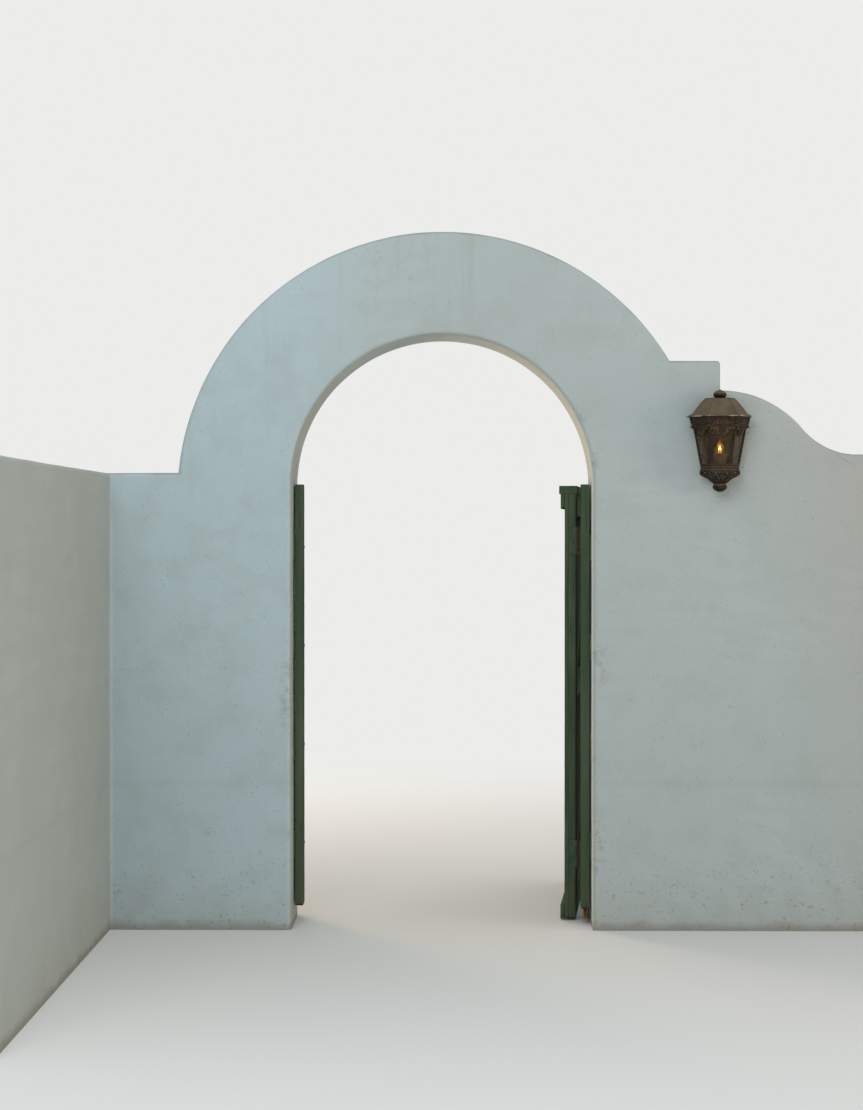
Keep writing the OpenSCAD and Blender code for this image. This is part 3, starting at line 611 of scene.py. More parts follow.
rng = random.Random(6)
for i in range(board_count):
    x0 = board_low.x + i * board_width + (board_gap / 2 if i else 0)
    x1 = board_low.x + (i + 1) * board_width - (board_gap / 2 if i < board_count - 1 else 0)
    y0, y1 = board_low.y, board_high.y - rng.uniform(0.0, 0.0008)
    z0, z1 = board_low.z + rng.uniform(0.0, 0.003), board_high.z
    outline = [(x0, y0), (x1, y0), (x1, y1 - board_groove), (x1 - board_groove, y1),
               (x0 + board_groove, y1), (x0, y1 - board_groove)]
    board = bmesh.new()
    foot = board.faces.new([board.verts.new((x, y, z0)) for x, y in outline])
    push_faces(board, [foot], (0, 0, z1 - z0))
    bmesh.ops.recalc_face_normals(board, faces=board.faces)
    add_cladding(timber_mesh(board, 2, 51 + i, board_feather))
tongues = bmesh.new()
middle = (board_low + board_high) / 2
for i in range(1, board_count):
    add_block(tongues, (board_low.x + i * board_width, middle.y - tongue_back, middle.z),
              (tongue_width, tongue_depth, board_high.z - board_low.z - 0.02))
add_cladding(timber_mesh(tongues, 2, 70))
hang_on_leaf("gate_boards", cladding, "boards")

# Rotten stub: what is left of the hinge post's foot, a core of brown splinters against the
# reveal, between the floor and the sound timber.
stub_sides, splinters = 6, 26


def skin_rings(solid, rings):
    """Outward faces from ring to ring of points and over both ends; a ring may be one point."""
    sides = max(len(ring) for ring in rings)
    for low_ring, high_ring in zip(rings, rings[1:]):
        for i in range(sides):
            j = (i + 1) % sides
            corners = dict.fromkeys((low_ring[i % len(low_ring)], low_ring[j % len(low_ring)],
                                     high_ring[j % len(high_ring)], high_ring[i % len(high_ring)]))
            if len(corners) > 2:
                solid.faces.new(list(corners))
    for end in (rings[0][::-1], rings[-1]):
        if len(end) > 2:
            solid.faces.new(end)
    bmesh.ops.recalc_face_normals(solid, faces=solid.faces)


rotten_wood, w = material_wire("rotten_wood")
place = object_place(w)
fibre = streak_fac(place, 300, 300, 26, 4, 0.65)
colour = coated(
    (84, 60, 34),
    (soft_step(fibre, 0.36, 0.64), 176, 138, 78),
    (soft_step(noise_fac(place, 60, 3), 0.54, 0.68) * 0.7, 44, 34, 24))
finish_surface(w, colour, 0.9 - fibre * 0.1, bumped(fibre, 0.002))
post_low, post_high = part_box("hinge_post")
stub = bmesh.new()
rng = random.Random(12)
for i in range(splinters):
    foot = Vector((post_low.x + rng.uniform(0.016, 0.035),
                   rng.uniform(post_low.y + 0.014, post_high.y - 0.014), 0))
    base, tip = rng.uniform(0.008, 0.036), post_low.z + 0.012
    wide = rng.uniform(0.0020, 0.0048)
    lean = Vector((rng.uniform(-0.009, 0.001), rng.uniform(-0.008, 0.008), 0))
    rings = []
    for part, rise in ((0.25, 0), (0.8, 0.35), (1.0, 0.7), (1.1, 1)):
        height, ring = base + (tip - base) * rise, []
        middle = foot + lean * (1 - rise)
        for a in range(stub_sides):
            turn = math.tau * a / stub_sides + i
            frayed = 0.004 * rng.random() if rise == 0 else 0
            ring.append(stub.verts.new((middle.x + part * wide * math.cos(turn) * 0.8,
                                        middle.y + part * wide * math.sin(turn) * 1.6, height + frayed)))
        rings.append(ring)
    skin_rings(stub, rings)
hand_over(new_piece("hinge_post_rotten_stub", stub, rotten_wood), "wall", "green_paint")

# Hinges: steel butts with five knuckles. They were painted with the gate; the paint has
# held on the plates and left the knuckles and the pins to rust.
hinge_steel, w = material_wire("rusted_hinge_steel")
place = object_place(w)
beside_pin = stretched(place.vectors("SUBTRACT", place, tuple(hinge_line)), 1, 1, 0)
from_pin = w.vectors("LENGTH", beside_pin, out="Value")
scale = noise_fac(place, 130, 4, 0.65)
pitting = noise_fac(place, 520, 3, 0.6)
painted = soft_step(from_pin + (scale - 0.5) * 0.014, 0.0075, 0.0115)
rust = coated(
    (60, 46, 41),
    (soft_step(scale, 0.38, 0.62), 80, 61, 53),
    (soft_step(pitting, 0.55, 0.70), 48, 36, 36),
    (soft_step(noise_fac(place, 55, 3), 0.58, 0.70) * 0.6, 56, 66, 52))
paint = coated(
    (62, 79, 62),
    (soft_step(noise_fac(place, 40, 3), 0.4, 0.6), 74, 88, 68),
    (soft_step(pitting, 0.66, 0.74) * 0.6, 96, 62, 46))
finish_surface(w, colour_mix(painted, rust, paint), 0.82 - painted * 0.16,
               bumped(scale * 0.6 + pitting * 0.4, 0.0005), Specular_IOR_Level=0.08)
for height in ("upper", "lower"):
    for part in ("post_plate", "gate_plate", "pin"):
        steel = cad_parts[f"{height}_hinge_{part}"]
        steel.data.materials.clear()
        steel.data.materials.append(hinge_steel)

# Fasteners: heads set on the points of a plain mesh by one tree, each turned at random
# about its own axis. Every head is a small closed solid with its seat at z = 0.
head_sides = 12
slot_width, slot_depth = 0.13, 0.09
nail_width, screw_width, anchor_width = 0.0072, 0.0068, 0.014


def new_tree(name, **inputs):
    """A geometry tree with named inputs, and the wire that its nodes are added with."""
    tree = bpy.data.node_groups.new(name, "GeometryNodeTree")
    tree.interface.new_socket(name="Geometry", in_out="OUTPUT", socket_type="NodeSocketGeometry")
    for label, kind in {"Geometry": "Geometry", **inputs}.items():
        tree.interface.new_socket(name=label.replace("_", " "), in_out="INPUT",
                                  socket_type="NodeSocket" + kind)
    return tree, Wire(tree).node("NodeGroupInput")


def end_tree(w, made):
    """Makes the instances real and gives them the metal that the tree is told."""
    made = made.node("GeometryNodeRealizeInstances", {}, {"Geometry": made})
    made = made.node("GeometryNodeSetMaterial", {}, {"Geometry": made, "Material": w.out("Metal")})
    made.node("NodeGroupOutput", {}, {"Geometry": made})


def run_tree(piece, tree, **values):
    """Sets the tree's inputs, applies it to the piece and removes it."""
    modifier = piece.modifiers.new(tree.name, "NODES")
    modifier.node_group = tree
    for item in tree.interface.items_tree:
        key = item.name.replace(" ", "_")
        if item.in_out == "INPUT" and key in values:
            modifier[item.identifier] = values[key]
    return settle(piece)


heads_tree, w = new_tree("fastener_heads", Head="Object", Diameter="Float", Seed="Int", Metal="Material")
outward = w.node("GeometryNodeInputNamedAttribute", {"data_type": "FLOAT_VECTOR"}, {"Name": "outward"})
turn = w.node("FunctionNodeRandomValue", {"data_type": "FLOAT"}, {3: math.tau, "Seed": w.out("Seed")}, out=1)
aim = w.node("FunctionNodeAlignRotationToVector", {"axis": "Z"}, {"Vector": outward})
spin = w.node("FunctionNodeAxisAngleToRotation", {}, {"Axis": (0, 0, 1), "Angle": turn})
aim = w.node("FunctionNodeRotateRotation", {"rotation_space": "LOCAL"}, {0: aim, 1: spin})
head = w.node("GeometryNodeObjectInfo", {}, {"Object": w.out("Head")}).out("Geometry")
end_tree(w, w.node("GeometryNodeInstanceOnPoints", {}, {
    "Points": w, "Instance": head, "Rotation": aim, "Scale": w.out("Diameter")}))


def set_heads(name, seats, head, diameter, metal, body, slot, seed):
    """seats lists places and outward directions."""
    mesh = bpy.data.meshes.new(name)
    mesh.from_pydata([place for place, outward in seats], [], [])
    for point, (place, outward) in zip(mesh.attributes.new("outward", "FLOAT_VECTOR", "POINT").data, seats):
        point.vector = outward
    hand_over(run_tree(link_object(name, mesh), heads_tree, Head=head, Diameter=diameter, Seed=seed,
                       Metal=metal), body, slot)


def lathe(profile, sides=56):
    """Closed solid turned about Z from (radius, height) points."""
    solid, rings = bmesh.new(), []
    for radius, height in profile:
        turns = [math.tau * i / sides for i in range(sides)] if radius > 1e-6 else [0]
        rings.append([solid.verts.new((radius * math.cos(a), radius * math.sin(a), height)) for a in turns])
    skin_rings(solid, rings)
    return solid


def slotted(solid):
    """Cuts a slot across the flat top of a head."""
    solid.normal_update()
    for side in (-1, 1):
        plane_cut(solid, (0, side * slot_width / 2, 0), (0, 1, 0))
    sunk = [f for f in solid.faces
            if abs(f.calc_center_median().y) < slot_width / 2 - 1e-4 and f.normal.z > 0.9]
    push_faces(solid, sunk, (0, 0, -slot_depth))
    bmesh.ops.delete(solid, geom=sunk, context="FACES_ONLY")
    bmesh.ops.recalc_face_normals(solid, faces=solid.faces)
    return solid


nail_profile = [(0.5, -0.10), (0.5, 0.02), (0.38, 0.09), (0.14, 0.12)]
screw_profile = [(0.30, -0.30), (0.5, 0.0), (0.5, 0.03), (0.40, 0.07)]
anchor_profile = [(0.62, -0.05), (0.62, 0.06), (0.5, 0.08), (0.5, 0.22), (0.40, 0.28)]
nail_head = new_piece("nail_head", lathe(nail_profile, head_sides))
screw_head = new_piece("screw_head", slotted(lathe(screw_profile, head_sides)))
anchor_head = new_piece("anchor_head", lathe(anchor_profile, head_sides))

# Nails: two to every board on the lower rails and one on the top rail, driven from the
# street face and painted over, with a row along the cap and each trim board.
leaf_turn = leaf_place.to_3x3()
street, skyward = leaf_turn @ Vector((0, 1, 0)), Vector((0, 0, 1))
# Heights of the board nails, and how far across the board each is
nail_rows = ((0.105, 0.3), (0.135, 0.7), (0.945, 0.3), (0.975, 0.7), (1.69, 0.7))
trim_nails, trim_nail_pitch, trim_nail_heights = 9, 0.128, (1.755, 0.038)
trim_face, cap_top, cap_middle = 0.0645, 1.8142, 0.014
nail_sunk, trim_nail_sunk = 0.0004, 0.001
rng = random.Random(21)


def astray(reach):
    return rng.uniform(-reach, reach)


seats = []
for i in range(board_count):
    for height, part in nail_rows:
        along = board_low.x + (i + part) * board_width + astray(0.006)
        nail_at = Vector((along, board_high.y - nail_sunk, height + astray(0.005)))
        seats.append((leaf_place @ nail_at, street))
for i in range(trim_nails):
    along = 0.05 + i * trim_nail_pitch + astray(0.008)
    for height in trim_nail_heights:
        nail_at = Vector((along, trim_face - trim_nail_sunk, height + astray(0.005)))
        seats.append((leaf_place @ nail_at, street))
    nail_at = Vector((along + 0.02, cap_middle + astray(0.003), cap_top))
    seats.append((leaf_place @ nail_at, skyward))
set_heads("board_nails", seats, nail_head, nail_width, green_paint, "gate_leaf", "green_paint", 3)

# Hinge screws: four countersunk slotted screws in every plate, two rows in a zigzag. They
# were painted with the plates.
plate_height, plate_width = 0.114, 0.038
screw_pitch, screw_sunk = plate_height / 4.4, 0.003
near_edge, far_edge = 0.010, 0.018
post_seats, gate_seats = [], []
garden = leaf_turn @ Vector((-1, 0, 0))
for height in ("upper", "lower"):
    low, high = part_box(f"{height}_hinge_post_plate")
    for row in (-1.5, -0.5, 0.5, 1.5):
        up = Vector((0, 0, (low.z + high.z) / 2 + row * screw_pitch))
        reach = plate_width - (near_edge if abs(row) > 1 else far_edge)
        on_post = Vector((knuckle_radius - screw_sunk, -reach, 0))
        on_gate = Vector((-screw_sunk, reach - pin_behind, 0))
        post_seats.append((hinge_line + up + on_post, Vector((-1, 0, 0))))
        gate_seats.append((leaf_place @ on_gate + up, garden))
set_heads("post_hinge_screws", post_seats, screw_head, screw_width, hinge_steel, "wall", "hinge_metal", 9)
set_heads("gate_hinge_screws", gate_seats, screw_head, screw_width, hinge_steel, "gate_leaf",
          "hinge_metal", 9)

# Anchors: bolts through the posts and their packers into the masonry, four to a post. Their
# washers lie flush with the posts, and the heads are painted over.
anchor_count, end_margin, anchor_sunk = 4, 0.055, 0.0008
for post, side, seed in (("hinge_post", -1, 4), ("latch_post", 1, 5)):
    low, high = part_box(post)
    face = (low.x if side < 0 else high.x) - side * anchor_sunk
    pitch = (high.z - low.z - 2 * end_margin) / anchor_count
    seats = [(Vector((face, (low.y + high.y) / 2 + 0.004, low.z + (i + 0.5) * pitch + end_margin)),
              Vector((side, 0, 0))) for i in range(anchor_count)]
    set_heads(post + "_anchors", seats, anchor_head, anchor_width, green_paint, "wall", "green_paint", seed)
for head in (nail_head, screw_head, anchor_head):
    bpy.data.objects.remove(head)

# Lantern: a hexagonal wall lantern of dark bronzed sheet, worn to a paler brown on its
# roof and along its edges. Every piece is made about the lantern's own axis, with z = 0 at
# its floor and the wall on the +Y side, and then hung in its place.
knob_low, knob_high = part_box("lantern_knob")
cup_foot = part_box("lantern_cup")[0].z
lantern_axis = Vector(((knob_low.x + knob_high.x) / 2, (knob_low.y + knob_high.y) / 2, cup_foot))
wall_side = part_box("lantern_cage")[1].y - lantern_axis.y
eave_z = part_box("lantern_roof")[0].z - lantern_axis.z
sheet = 0.0016
cos30 = math.cos(math.radians(30))
corner_turns = (0, math.pi, math.pi * 4 / 3, math.pi * 5 / 3)

bronze, w = material_wire("worn_dark_bronze")
place = object_place(w)
up_facing = axis_of(w.node("ShaderNodeNewGeometry", out="Normal"), "Z")
edge_on = w.node("ShaderNodeNewGeometry", out="Pointiness")
cloud, tarnish = noise_fac(place, 14, 3), noise_fac(place, 75, 5, 0.62)
speck = noise_fac(place, 330, 2, 0.6)
runs = streak_fac(place, 160, 160, 11, 4, 0.6)
weathered = soft_step(up_facing + (tarnish - 0.5) * 0.4, 0.12, 0.55)
colour = coated(
    (32, 24, 19),
    (soft_step(tarnish, 0.34, 0.66), 52, 39, 29),
    (weathered * (soft_step(cloud, 0.35, 0.62) * 0.30 + 0.70), 106, 94, 77),
    (soft_step(runs, 0.54, 0.70) * 0.12, 122, 104, 78),
    (soft_step(speck, 0.58, 0.70) * 0.50, 116, 94, 66),
    (soft_step(speck, 0.36, 0.28) * 0.35, 34, 26, 20),
    (soft_step(edge_on, 0.56, 0.68) * soft_step(cloud, 0.4, 0.6) * 0.4, 138, 112, 80))
finish_surface(w, colour, 0.50 + tarnish * 0.2 + weathered * 0.1,
               bumped(tarnish * 0.6 + speck * 0.4, 0.0004), Metallic=0.12, Specular_IOR_Level=0.16)


def hang(name, solid, *nodes, material=bronze, slot="bronze", sharp=32, bevel=0.0, thickness=0.0):
    """Puts a piece of the lantern in its place, thickened and with its edges eased."""
    solid.transform(Matrix.Translation(lantern_axis))
    piece = new_piece(name, solid, material)
    if thickness:
        thick = piece.modifiers.new("sheet", "SOLIDIFY")
        thick.thickness, thick.offset = thickness, -1
        settle(piece)
    if bevel:
        eased = piece.modifiers.new("eased", "BEVEL")
        eased.width, eased.segments, eased.angle_limit = bevel, 2, math.radians(35)
        settle(piece)
    hand_over(smooth_all(piece, sharp), "wall", slot, *nodes)


def lantern_copy(node):
    solid = cad_copy(node)
    solid.transform(Matrix.Translation(-lantern_axis))
    flatten(solid)
    return solid


def hex_corners(radius):
    """Corners of the hexagon in plan, cut off where it meets the backplate."""
    back_y = min(radius * cos30, wall_side)
    back_x = radius - back_y / math.tan(math.radians(60))
    return [(back_x, back_y), (radius, 0), (radius / 2, -radius * cos30), (-radius / 2, -radius * cos30),
            (-radius, 0), (-back_x, back_y)]


def along_sides(corners, parts, first=0):
    """Points in plan that part each side from corner to corner."""
    return [(x0 + (x1 - x0) * k / parts, y0 + (y1 - y0) * k / parts)
            for (x0, y0), (x1, y1) in zip(corners, corners[1:]) for k in range(first, parts)]


def corner_lines(profile):
    """The (radius, height) points carried round to each corner that stands free."""
    return [[(math.cos(a) * r, math.sin(a) * r, h) for r, h in profile] for a in corner_turns]


def hex_body(profile, parts=1):
    """Closed solid through (corner radius, height) points; its first and last ends are capped."""
    solid, rings = bmesh.new(), []
    for radius, height in profile:
        corners = hex_corners(radius)
        rings.append([solid.verts.new((x, y, height)) for x, y in along_sides(corners + corners[:1], parts)])
    skin_rings(solid, rings)
    return solid


def eased_profile(points, steps=4):
    """More points along a smooth line through the given (radius, height) points."""
    ends = [points[0]] + list(points) + [points[-1]]
    out = []
    for a, b, c, d in zip(ends, ends[1:], ends[2:], ends[3:]):
        for k in range(steps):
            t = k / steps
            out.append(tuple(0.5 * (2 * q + (r - p) * t + (2 * p - 5 * q + 4 * r - s) * t * t
                                    + (3 * q - p - 3 * r + s) * t ** 3) for p, q, r, s in zip(a, b, c, d)))
    return out + [points[-1]]


# Rolled edges: a wire laid along the seams and rims of the sheet. One tree sweeps a round
# section along the edges of a plain mesh.
seam_wire, rim_wire, rib_wire, rail_wire = 0.0012, 0.0021, 0.0017, 0.0014
roll_tree, w = new_tree("rolled_edges", Wire_Radius="Float", Sides="Int", Metal="Material")
section = w.node("GeometryNodeCurvePrimitiveCircle", {"mode": "RADIUS"}, {
    "Resolution": w.out("Sides"), "Radius": w.out("Wire Radius")})
line = w.node("GeometryNodeMeshToCurve", {}, {"Mesh": w})
end_tree(w, w.node("GeometryNodeCurveToMesh", {}, {
    "Curve": line, "Profile Curve": section, "Fill Caps": True}))


def rolled(name, lines, radius, material=bronze, slot="bronze", sides=8):
    """A wire along each of the given lines, which are lists of points about the lantern's axis."""
    mesh, points, edges = bpy.data.meshes.new(name), [], []
    for line in lines:
        edges += [(len(points) + i, len(points) + i + 1) for i in range(len(line) - 1)]
        points += [Vector(p) + lantern_axis for p in line]
    mesh.from_pydata(points, edges, [])
    piece = run_tree(link_object(name, mesh), roll_tree, Wire_Radius=radius, Sides=sides, Metal=material)
    hand_over(smooth_all(piece, 50), "wall", slot)


# Roof: one dished hexagon of sheet, its eave flared and its rim rolled over a wire. The
# rim has been knocked, so it runs a little in and out.
roof_parts, rim_radius, rim_rise, hip_proud = 14, 0.1325, 0.0016, 0.0003
dents_from, dents_grow = 0.085, 0.03
roof_profile = [(0.134, 0.0006), (0.1338, 0.0024), (0.127, 0.0048), (0.1165, 0.0090), (0.108, 0.0142),
                (0.1002, 0.0255), (0.0905, 0.0385), (0.0790, 0.0528), (0.0672, 0.0660), (0.0592, 0.0738),
                (0.0594, 0.0760), (0.0560, 0.0762)]
underside = [(r - 0.0026, h - 0.0016) for r, h in roof_profile[2:9]]
underside = [(0.050, 0.0690)] + underside[::-1] + [(0.1315, 0.0006)]


def dented(point):
    x, y, z = point
    rim = max(0.0, min(1.0, (math.hypot(x, y) - dents_from) / dents_grow))
    key = Vector((x, y, 0)) * 24
    return Vector((x, y, z)) + rim * Vector((
        0.0006 * noise.noise(key + Vector((5, 0, 0))), 0.0008 * noise.noise(key),
        -0.0001 + 0.0011 * noise.noise(key + Vector((0, 0, 3)))))


roof = hex_body([(r, eave_z + h) for r, h in underside + roof_profile], roof_parts)
for v in roof.verts:
    v.co = dented(v.co)
hang("lantern_roof_sheet", roof, "lantern_roof", sharp=24)
hips = corner_lines([(r + hip_proud, eave_z + h + hip_proud) for r, h in roof_profile[2:10]])
rolled("lantern_roof_hips", [[dented(point) for point in line] for line in hips], seam_wire)
rim_corners = hex_corners(rim_radius)
rim_plan = along_sides(rim_corners, roof_parts) + rim_corners[-1:]
rim_line = [dented((x, y, eave_z + rim_rise)) for x, y in rim_plan]
# Rim: painted highlights, pale cream patches along the rolled rim that stand for the light reflected on it
painted_highlight_rim, w = material_wire("rubbed_bronze_rim")
place = object_place(w)
rubbed_spots_and_rim_highlight = soft_step(noise_fac(place, 17, 2), 0.44, 0.54)
tarnish = noise_fac(place, 240, 4, 0.6)
rim_highlight_paint = coated((214, 184, 158), (tarnish, 176, 146, 122))
colour = colour_mix(rubbed_spots_and_rim_highlight * 0.9, rgb(88, 74, 60), rim_highlight_paint)
finish_surface(w, colour, 0.55 + tarnish * 0.2, bumped(tarnish, 0.0003), Metallic=0.25)
rolled("lantern_roof_rim", [rim_line], rim_wire, painted_highlight_rim)

# Knob: a ball on a collar, turned from the same bronze. It is screwed down through the
# roof's flat top.
roof_top = knob_low.z - lantern_axis.z
knob_radius, knob_height = 0.027, 0.036
knob_profile = [(0.60, 0), (0.66, 0.05), (0.86, 0.16), (0.97, 0.28), (1, 0.4), (0.97, 0.52), (0.86, 0.65),
                (0.68, 0.76), (0.45, 0.86), (0.2, 0.94), (0.09, 0.99)]
knob = lathe([(r * knob_radius, roof_top + h * knob_height)
              for r, h in [(0, 0)] + eased_profile(knob_profile) + [(0, 1)]])
hang("lantern_knob_turned", knob, "lantern_knob", sharp=60)

# Pierced sheets: each is drawn flat, filled around its holes, cut where it bends and then
# laid on one facet of the hexagon after the other.
facet_turns = [math.radians(t) for t in (0, -60, 60, -120, 120)]


def ellipse(x, y, long, wide, angle=0.0, sides=10):
    c, s = math.cos(angle), math.sin(angle)
    out = []
    for i in range(sides):
        a, b = long * math.cos(math.tau * i / sides), wide * math.sin(math.tau * i / sides)
        out.append((x + a * c - b * s, y + a * s + b * c))
    return out


def rosette(x, y, reach, petals, long, wide, eye):
    """An eye with its petals round it, the first one pointing along Y."""
    turns = [math.tau * k / petals + math.pi / 2 for k in range(petals)]
    return [ellipse(x, y, eye, eye)] + [
        ellipse(x + reach * math.cos(a), y + reach * math.sin(a), long, wide, a) for a in turns]


def pierced_sheet(outline, holes, bends):
    """Flat sheet in X and Y around its holes, with an edge along every bend."""
    flat = bmesh.new()
    for ring in [outline] + holes:
        corners = [flat.verts.new((x, y, 0)) for x, y in ring]
        for a, b in zip(corners, corners[1:] + corners[:1]):
            flat.edges.new((a, b))
    bmesh.ops.triangle_fill(flat, use_beauty=True, use_dissolve=False, edges=flat.edges[:], normal=(0, 0, 1))
    for bend in bends:
        plane_cut(flat, (0, bend, 0), (0, 1, 0), dist=1e-6)
    return flat


def on_facets(name, flat, path, node):
    """Lays copies of a flat sheet on the five facets; its Y is the way down the facet.

    path tells the corner radius and the height at each Y."""
    joined, form, placed = bmesh.new(), bpy.data.meshes.new(name), bpy.data.meshes.new(name)
    flat.to_mesh(form)
    flat.free()
    for turn in facet_turns:
        one = bmesh.new()
        one.from_mesh(form)
        for v in one.verts:
            radius, height = path(v.co.y)
            v.co = Vector((v.co.x * math.cos(turn) + radius * cos30 * math.sin(turn),
                           v.co.x * math.sin(turn) - radius * cos30 * math.cos(turn), height))
        plane_cut(one, (0, wall_side, 0), (0, 1, 0), clear_outer=True)
        one.normal_update()
        outward = Vector((math.sin(turn), -math.cos(turn), 0))
        if sum(f.normal.dot(outward) * f.calc_area() for f in one.faces) < 0:
            bmesh.ops.reverse_faces(one, faces=one.faces)
        one.to_mesh(placed)
        one.free()
        joined.from_mesh(placed)
    bpy.data.meshes.remove(placed)
    bpy.data.meshes.remove(form)
    hang(name, joined, node, sharp=24, thickness=sheet)


# Gallery: a pierced band that leans in from the eave to a bead on every corner, with a
# large scalloped lobe and two small ones hanging below it on each facet.
band_h, lobe_drop, top_r, bead_line_r, foot_r = 0.040, 0.038, 0.124, 0.113, 0.1032
lobe_r, side_lobe_r, side_lobe_x = 0.0257, 0.014, 0.0377
lobe_y = band_h + lobe_drop - lobe_r
lobe_side = math.degrees(math.asin((band_h - lobe_y) / lobe_r))
# Corner beads and the small beads between them: distance from the axis, and radius
corner_bead_out, corner_bead_r = 0.1135, 0.0052
small_bead_out, small_bead_r, beads_a_side = 0.1142, 0.0021, 12


def arc(x, y, radius, start, end, count, scallops=0):
    """Points on an arc, start and end in degrees; scallops notch it by a tenth."""
    out = []
    for k in range(count + 1):
        a = math.radians(start + (end - start) * k / count)
        notch = 1 - 0.09 * (1 - abs(math.sin(scallops * math.pi * k / count))) if scallops else 1
        out.append((x + radius * notch * math.cos(a), y + radius * notch * math.sin(a)))
    return out


def gallery_path(y):
    if y < band_h:
        return top_r + (bead_line_r - top_r) * y / band_h, eave_z - y
    return bead_line_r + (foot_r - bead_line_r) * (y - band_h) / lobe_drop, eave_z - y


outline = [(-top_r / 2, 0.0), (top_r / 2, 0.0), (bead_line_r / 2, band_h)]
outline += arc(side_lobe_x, band_h, side_lobe_r, 0, 180, 14)
outline += arc(0, lobe_y, lobe_r, lobe_side, 180 - lobe_side, 56, 7)
outline += arc(-side_lobe_x, band_h, side_lobe_r, 0, 180, 14)
outline.append((-bead_line_r / 2, band_h))
holes = [ellipse(0.0094 * i, 0.033, 0.0019, 0.0019, sides=8) for i in range(-4, 5)]
holes += [ellipse(side * 0.0485, 0.0300, 0.0042, 0.0036, 0.4 * side) for side in (-1, 1)]
holes += [ellipse(0.0135 * i, 0.0215, 0.0044, 0.0021, math.pi / 2) for i in range(-3, 4)]
holes += [ellipse(0.0135 * (i + 0.5), 0.0125, 0.0026, 0.0026, sides=8) for i in range(-4, 4)]
holes += rosette(0, lobe_y + 0.001, 0.0125, 7, 0.0050, 0.0026, 0.0040)
for side in (-1, 1):
    holes += rosette(side * side_lobe_x, 0.0455, 0.0048, 3, 0.0026, 0.0015, 0.0013)
on_facets("lantern_gallery_sheet", pierced_sheet(outline, holes, [band_h]), gallery_path, "lantern_gallery")
bead_height = eave_z - band_h
beads = bmesh.new()
for (point,) in corner_lines([(corner_bead_out, bead_height)]):
    bmesh.ops.create_uvsphere(beads, u_segments=16, v_segments=10, radius=corner_bead_r,
                              matrix=Matrix.Translation(point) @ Matrix.Diagonal((1, 1, 0.9, 1)))
for x, y in along_sides(hex_corners(small_bead_out), beads_a_side, 1):
    bmesh.ops.create_uvsphere(beads, u_segments=8, v_segments=5, radius=small_bead_r,
                              matrix=Matrix.Translation((x, y, bead_height)))
hang("lantern_gallery_beads", beads, sharp=80)

# Cage: four corner bars between two rails, cut from folded sheet, with a half-round rib
# down every bar and two beads along the lower rail.
hang("lantern_cage_bars", lantern_copy("lantern_cage"), "lantern_cage", bevel=0.0007)
bar_foot, bar_head, rib_sunk = 0.077, 0.113, 0.0006
rib_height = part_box("lantern_cage")[1].z - lantern_axis.z - 0.004
rib_line = [(bar_foot + (bar_head - bar_foot) * t - rib_sunk, t * rib_height) for t in (0.01, 0.35, 0.7, 1)]
rolled("lantern_bar_ribs", corner_lines(rib_line), rib_wire)
rails = [[(x, y, z) for x, y in hex_corners(radius)] for radius, z in ((0.0785, 0.0105), (0.0775, 0.0018))]
rolled("lantern_rail_beads", rails, rail_wire)

# Glass: thin panes of smoked seeded glass, rolled by hand, so that they ripple. Dust and
# seeds show as paler specks in them.
pane_pitch, pane_ripple = 0.012, 0.0003
smoked_glass, w = material_wire("smoked_seeded_glass")
place = object_place(w)
film = noise_fac(place, 26, 4, 0.6)
seed_spots = soft_step(cell_fac(place, 260.0), 0.34, 0.16) * soft_step(noise_fac(place, 120, 2), 0.44, 0.58)
high = soft_step(axis_of(place, "Z"), lantern_axis.z + 0.09, lantern_axis.z + 0.19)
colour = coated((54, 38, 20), (soft_step(film, 0.35, 0.68), 88, 66, 38), (seed_spots, 124, 102, 70))
clouding = 0.34 + soft_step(film, 0.40, 0.75) * 0.14 + high * 0.22 + seed_spots * 0.10
ripple_bump = bumped(noise_fac(place, 60, 2) * 0.7 + seed_spots * 0.3, 0.0007)
finish_surface(w, colour, 0.16 + film * 0.16, ripple_bump, Alpha=clouding, Specular_IOR_Level=0.25)
panes = lantern_copy("lantern_glass")
grid_cut(panes, pane_pitch)
panes.normal_update()
for v in panes.verts:
    v.co += v.normal * pane_ripple * noise.noise(v.co * 55)
hang("lantern_panes", panes, "lantern_glass", material=smoked_glass, slot="seeded_glass", sharp=30)

# Ring: the moulded rail under the body. It holds the lantern's floor and the top of the
# pierced skirt, and three arms carry a round plate in its middle for the candle cup.
ring_parts = 4
arm_turns, arm_middle, arm_spans = (30, 150, 270), (0.042, 0, -0.0022), (0.054, 0.010, 0.0024)
ring_profile = [(0.0700, -0.0140), (0.0790, -0.0140), (0.0800, -0.0122), (0.0797, -0.0105), (0.0780, -0.0088),
                (0.0775, -0.0060), (0.0788, -0.0036), (0.0790, -0.0018), (0.0775, 0.0), (0.0690, 0.0)]
ring = hex_body(ring_profile, ring_parts)
caps = sorted(ring.faces, key=lambda f: len(f.verts))[-2:]
low_rim, high_rim = sorted(([v for v in cap.verts] for cap in caps), key=lambda rim: rim[0].co.z)
bmesh.ops.delete(ring, geom=caps, context="FACES_ONLY")
# Both rims part the hexagon alike, so each point's mate is the nearest one in plan.
mates = {v: min(high_rim, key=lambda u: (u.co.xy - v.co.xy).length) for v in low_rim}
for v, u in zip(low_rim, low_rim[1:] + low_rim[:1]):
    ring.faces.new((v, u, mates[u], mates[v]))
bmesh.ops.recalc_face_normals(ring, faces=ring.faces)
for turn in arm_turns:
    add_block(ring, arm_middle, arm_spans, Matrix.Rotation(math.radians(turn), 4, "Z"))
bmesh.ops.create_cone(ring, cap_ends=True, segments=32, radius1=0.0275, radius2=0.0265, depth=0.0030,
                      matrix=Matrix.Translation((0, 0, -0.0016)))
hang("lantern_ring_rail", ring, "lantern_ring", bevel=0.0004, sharp=40)

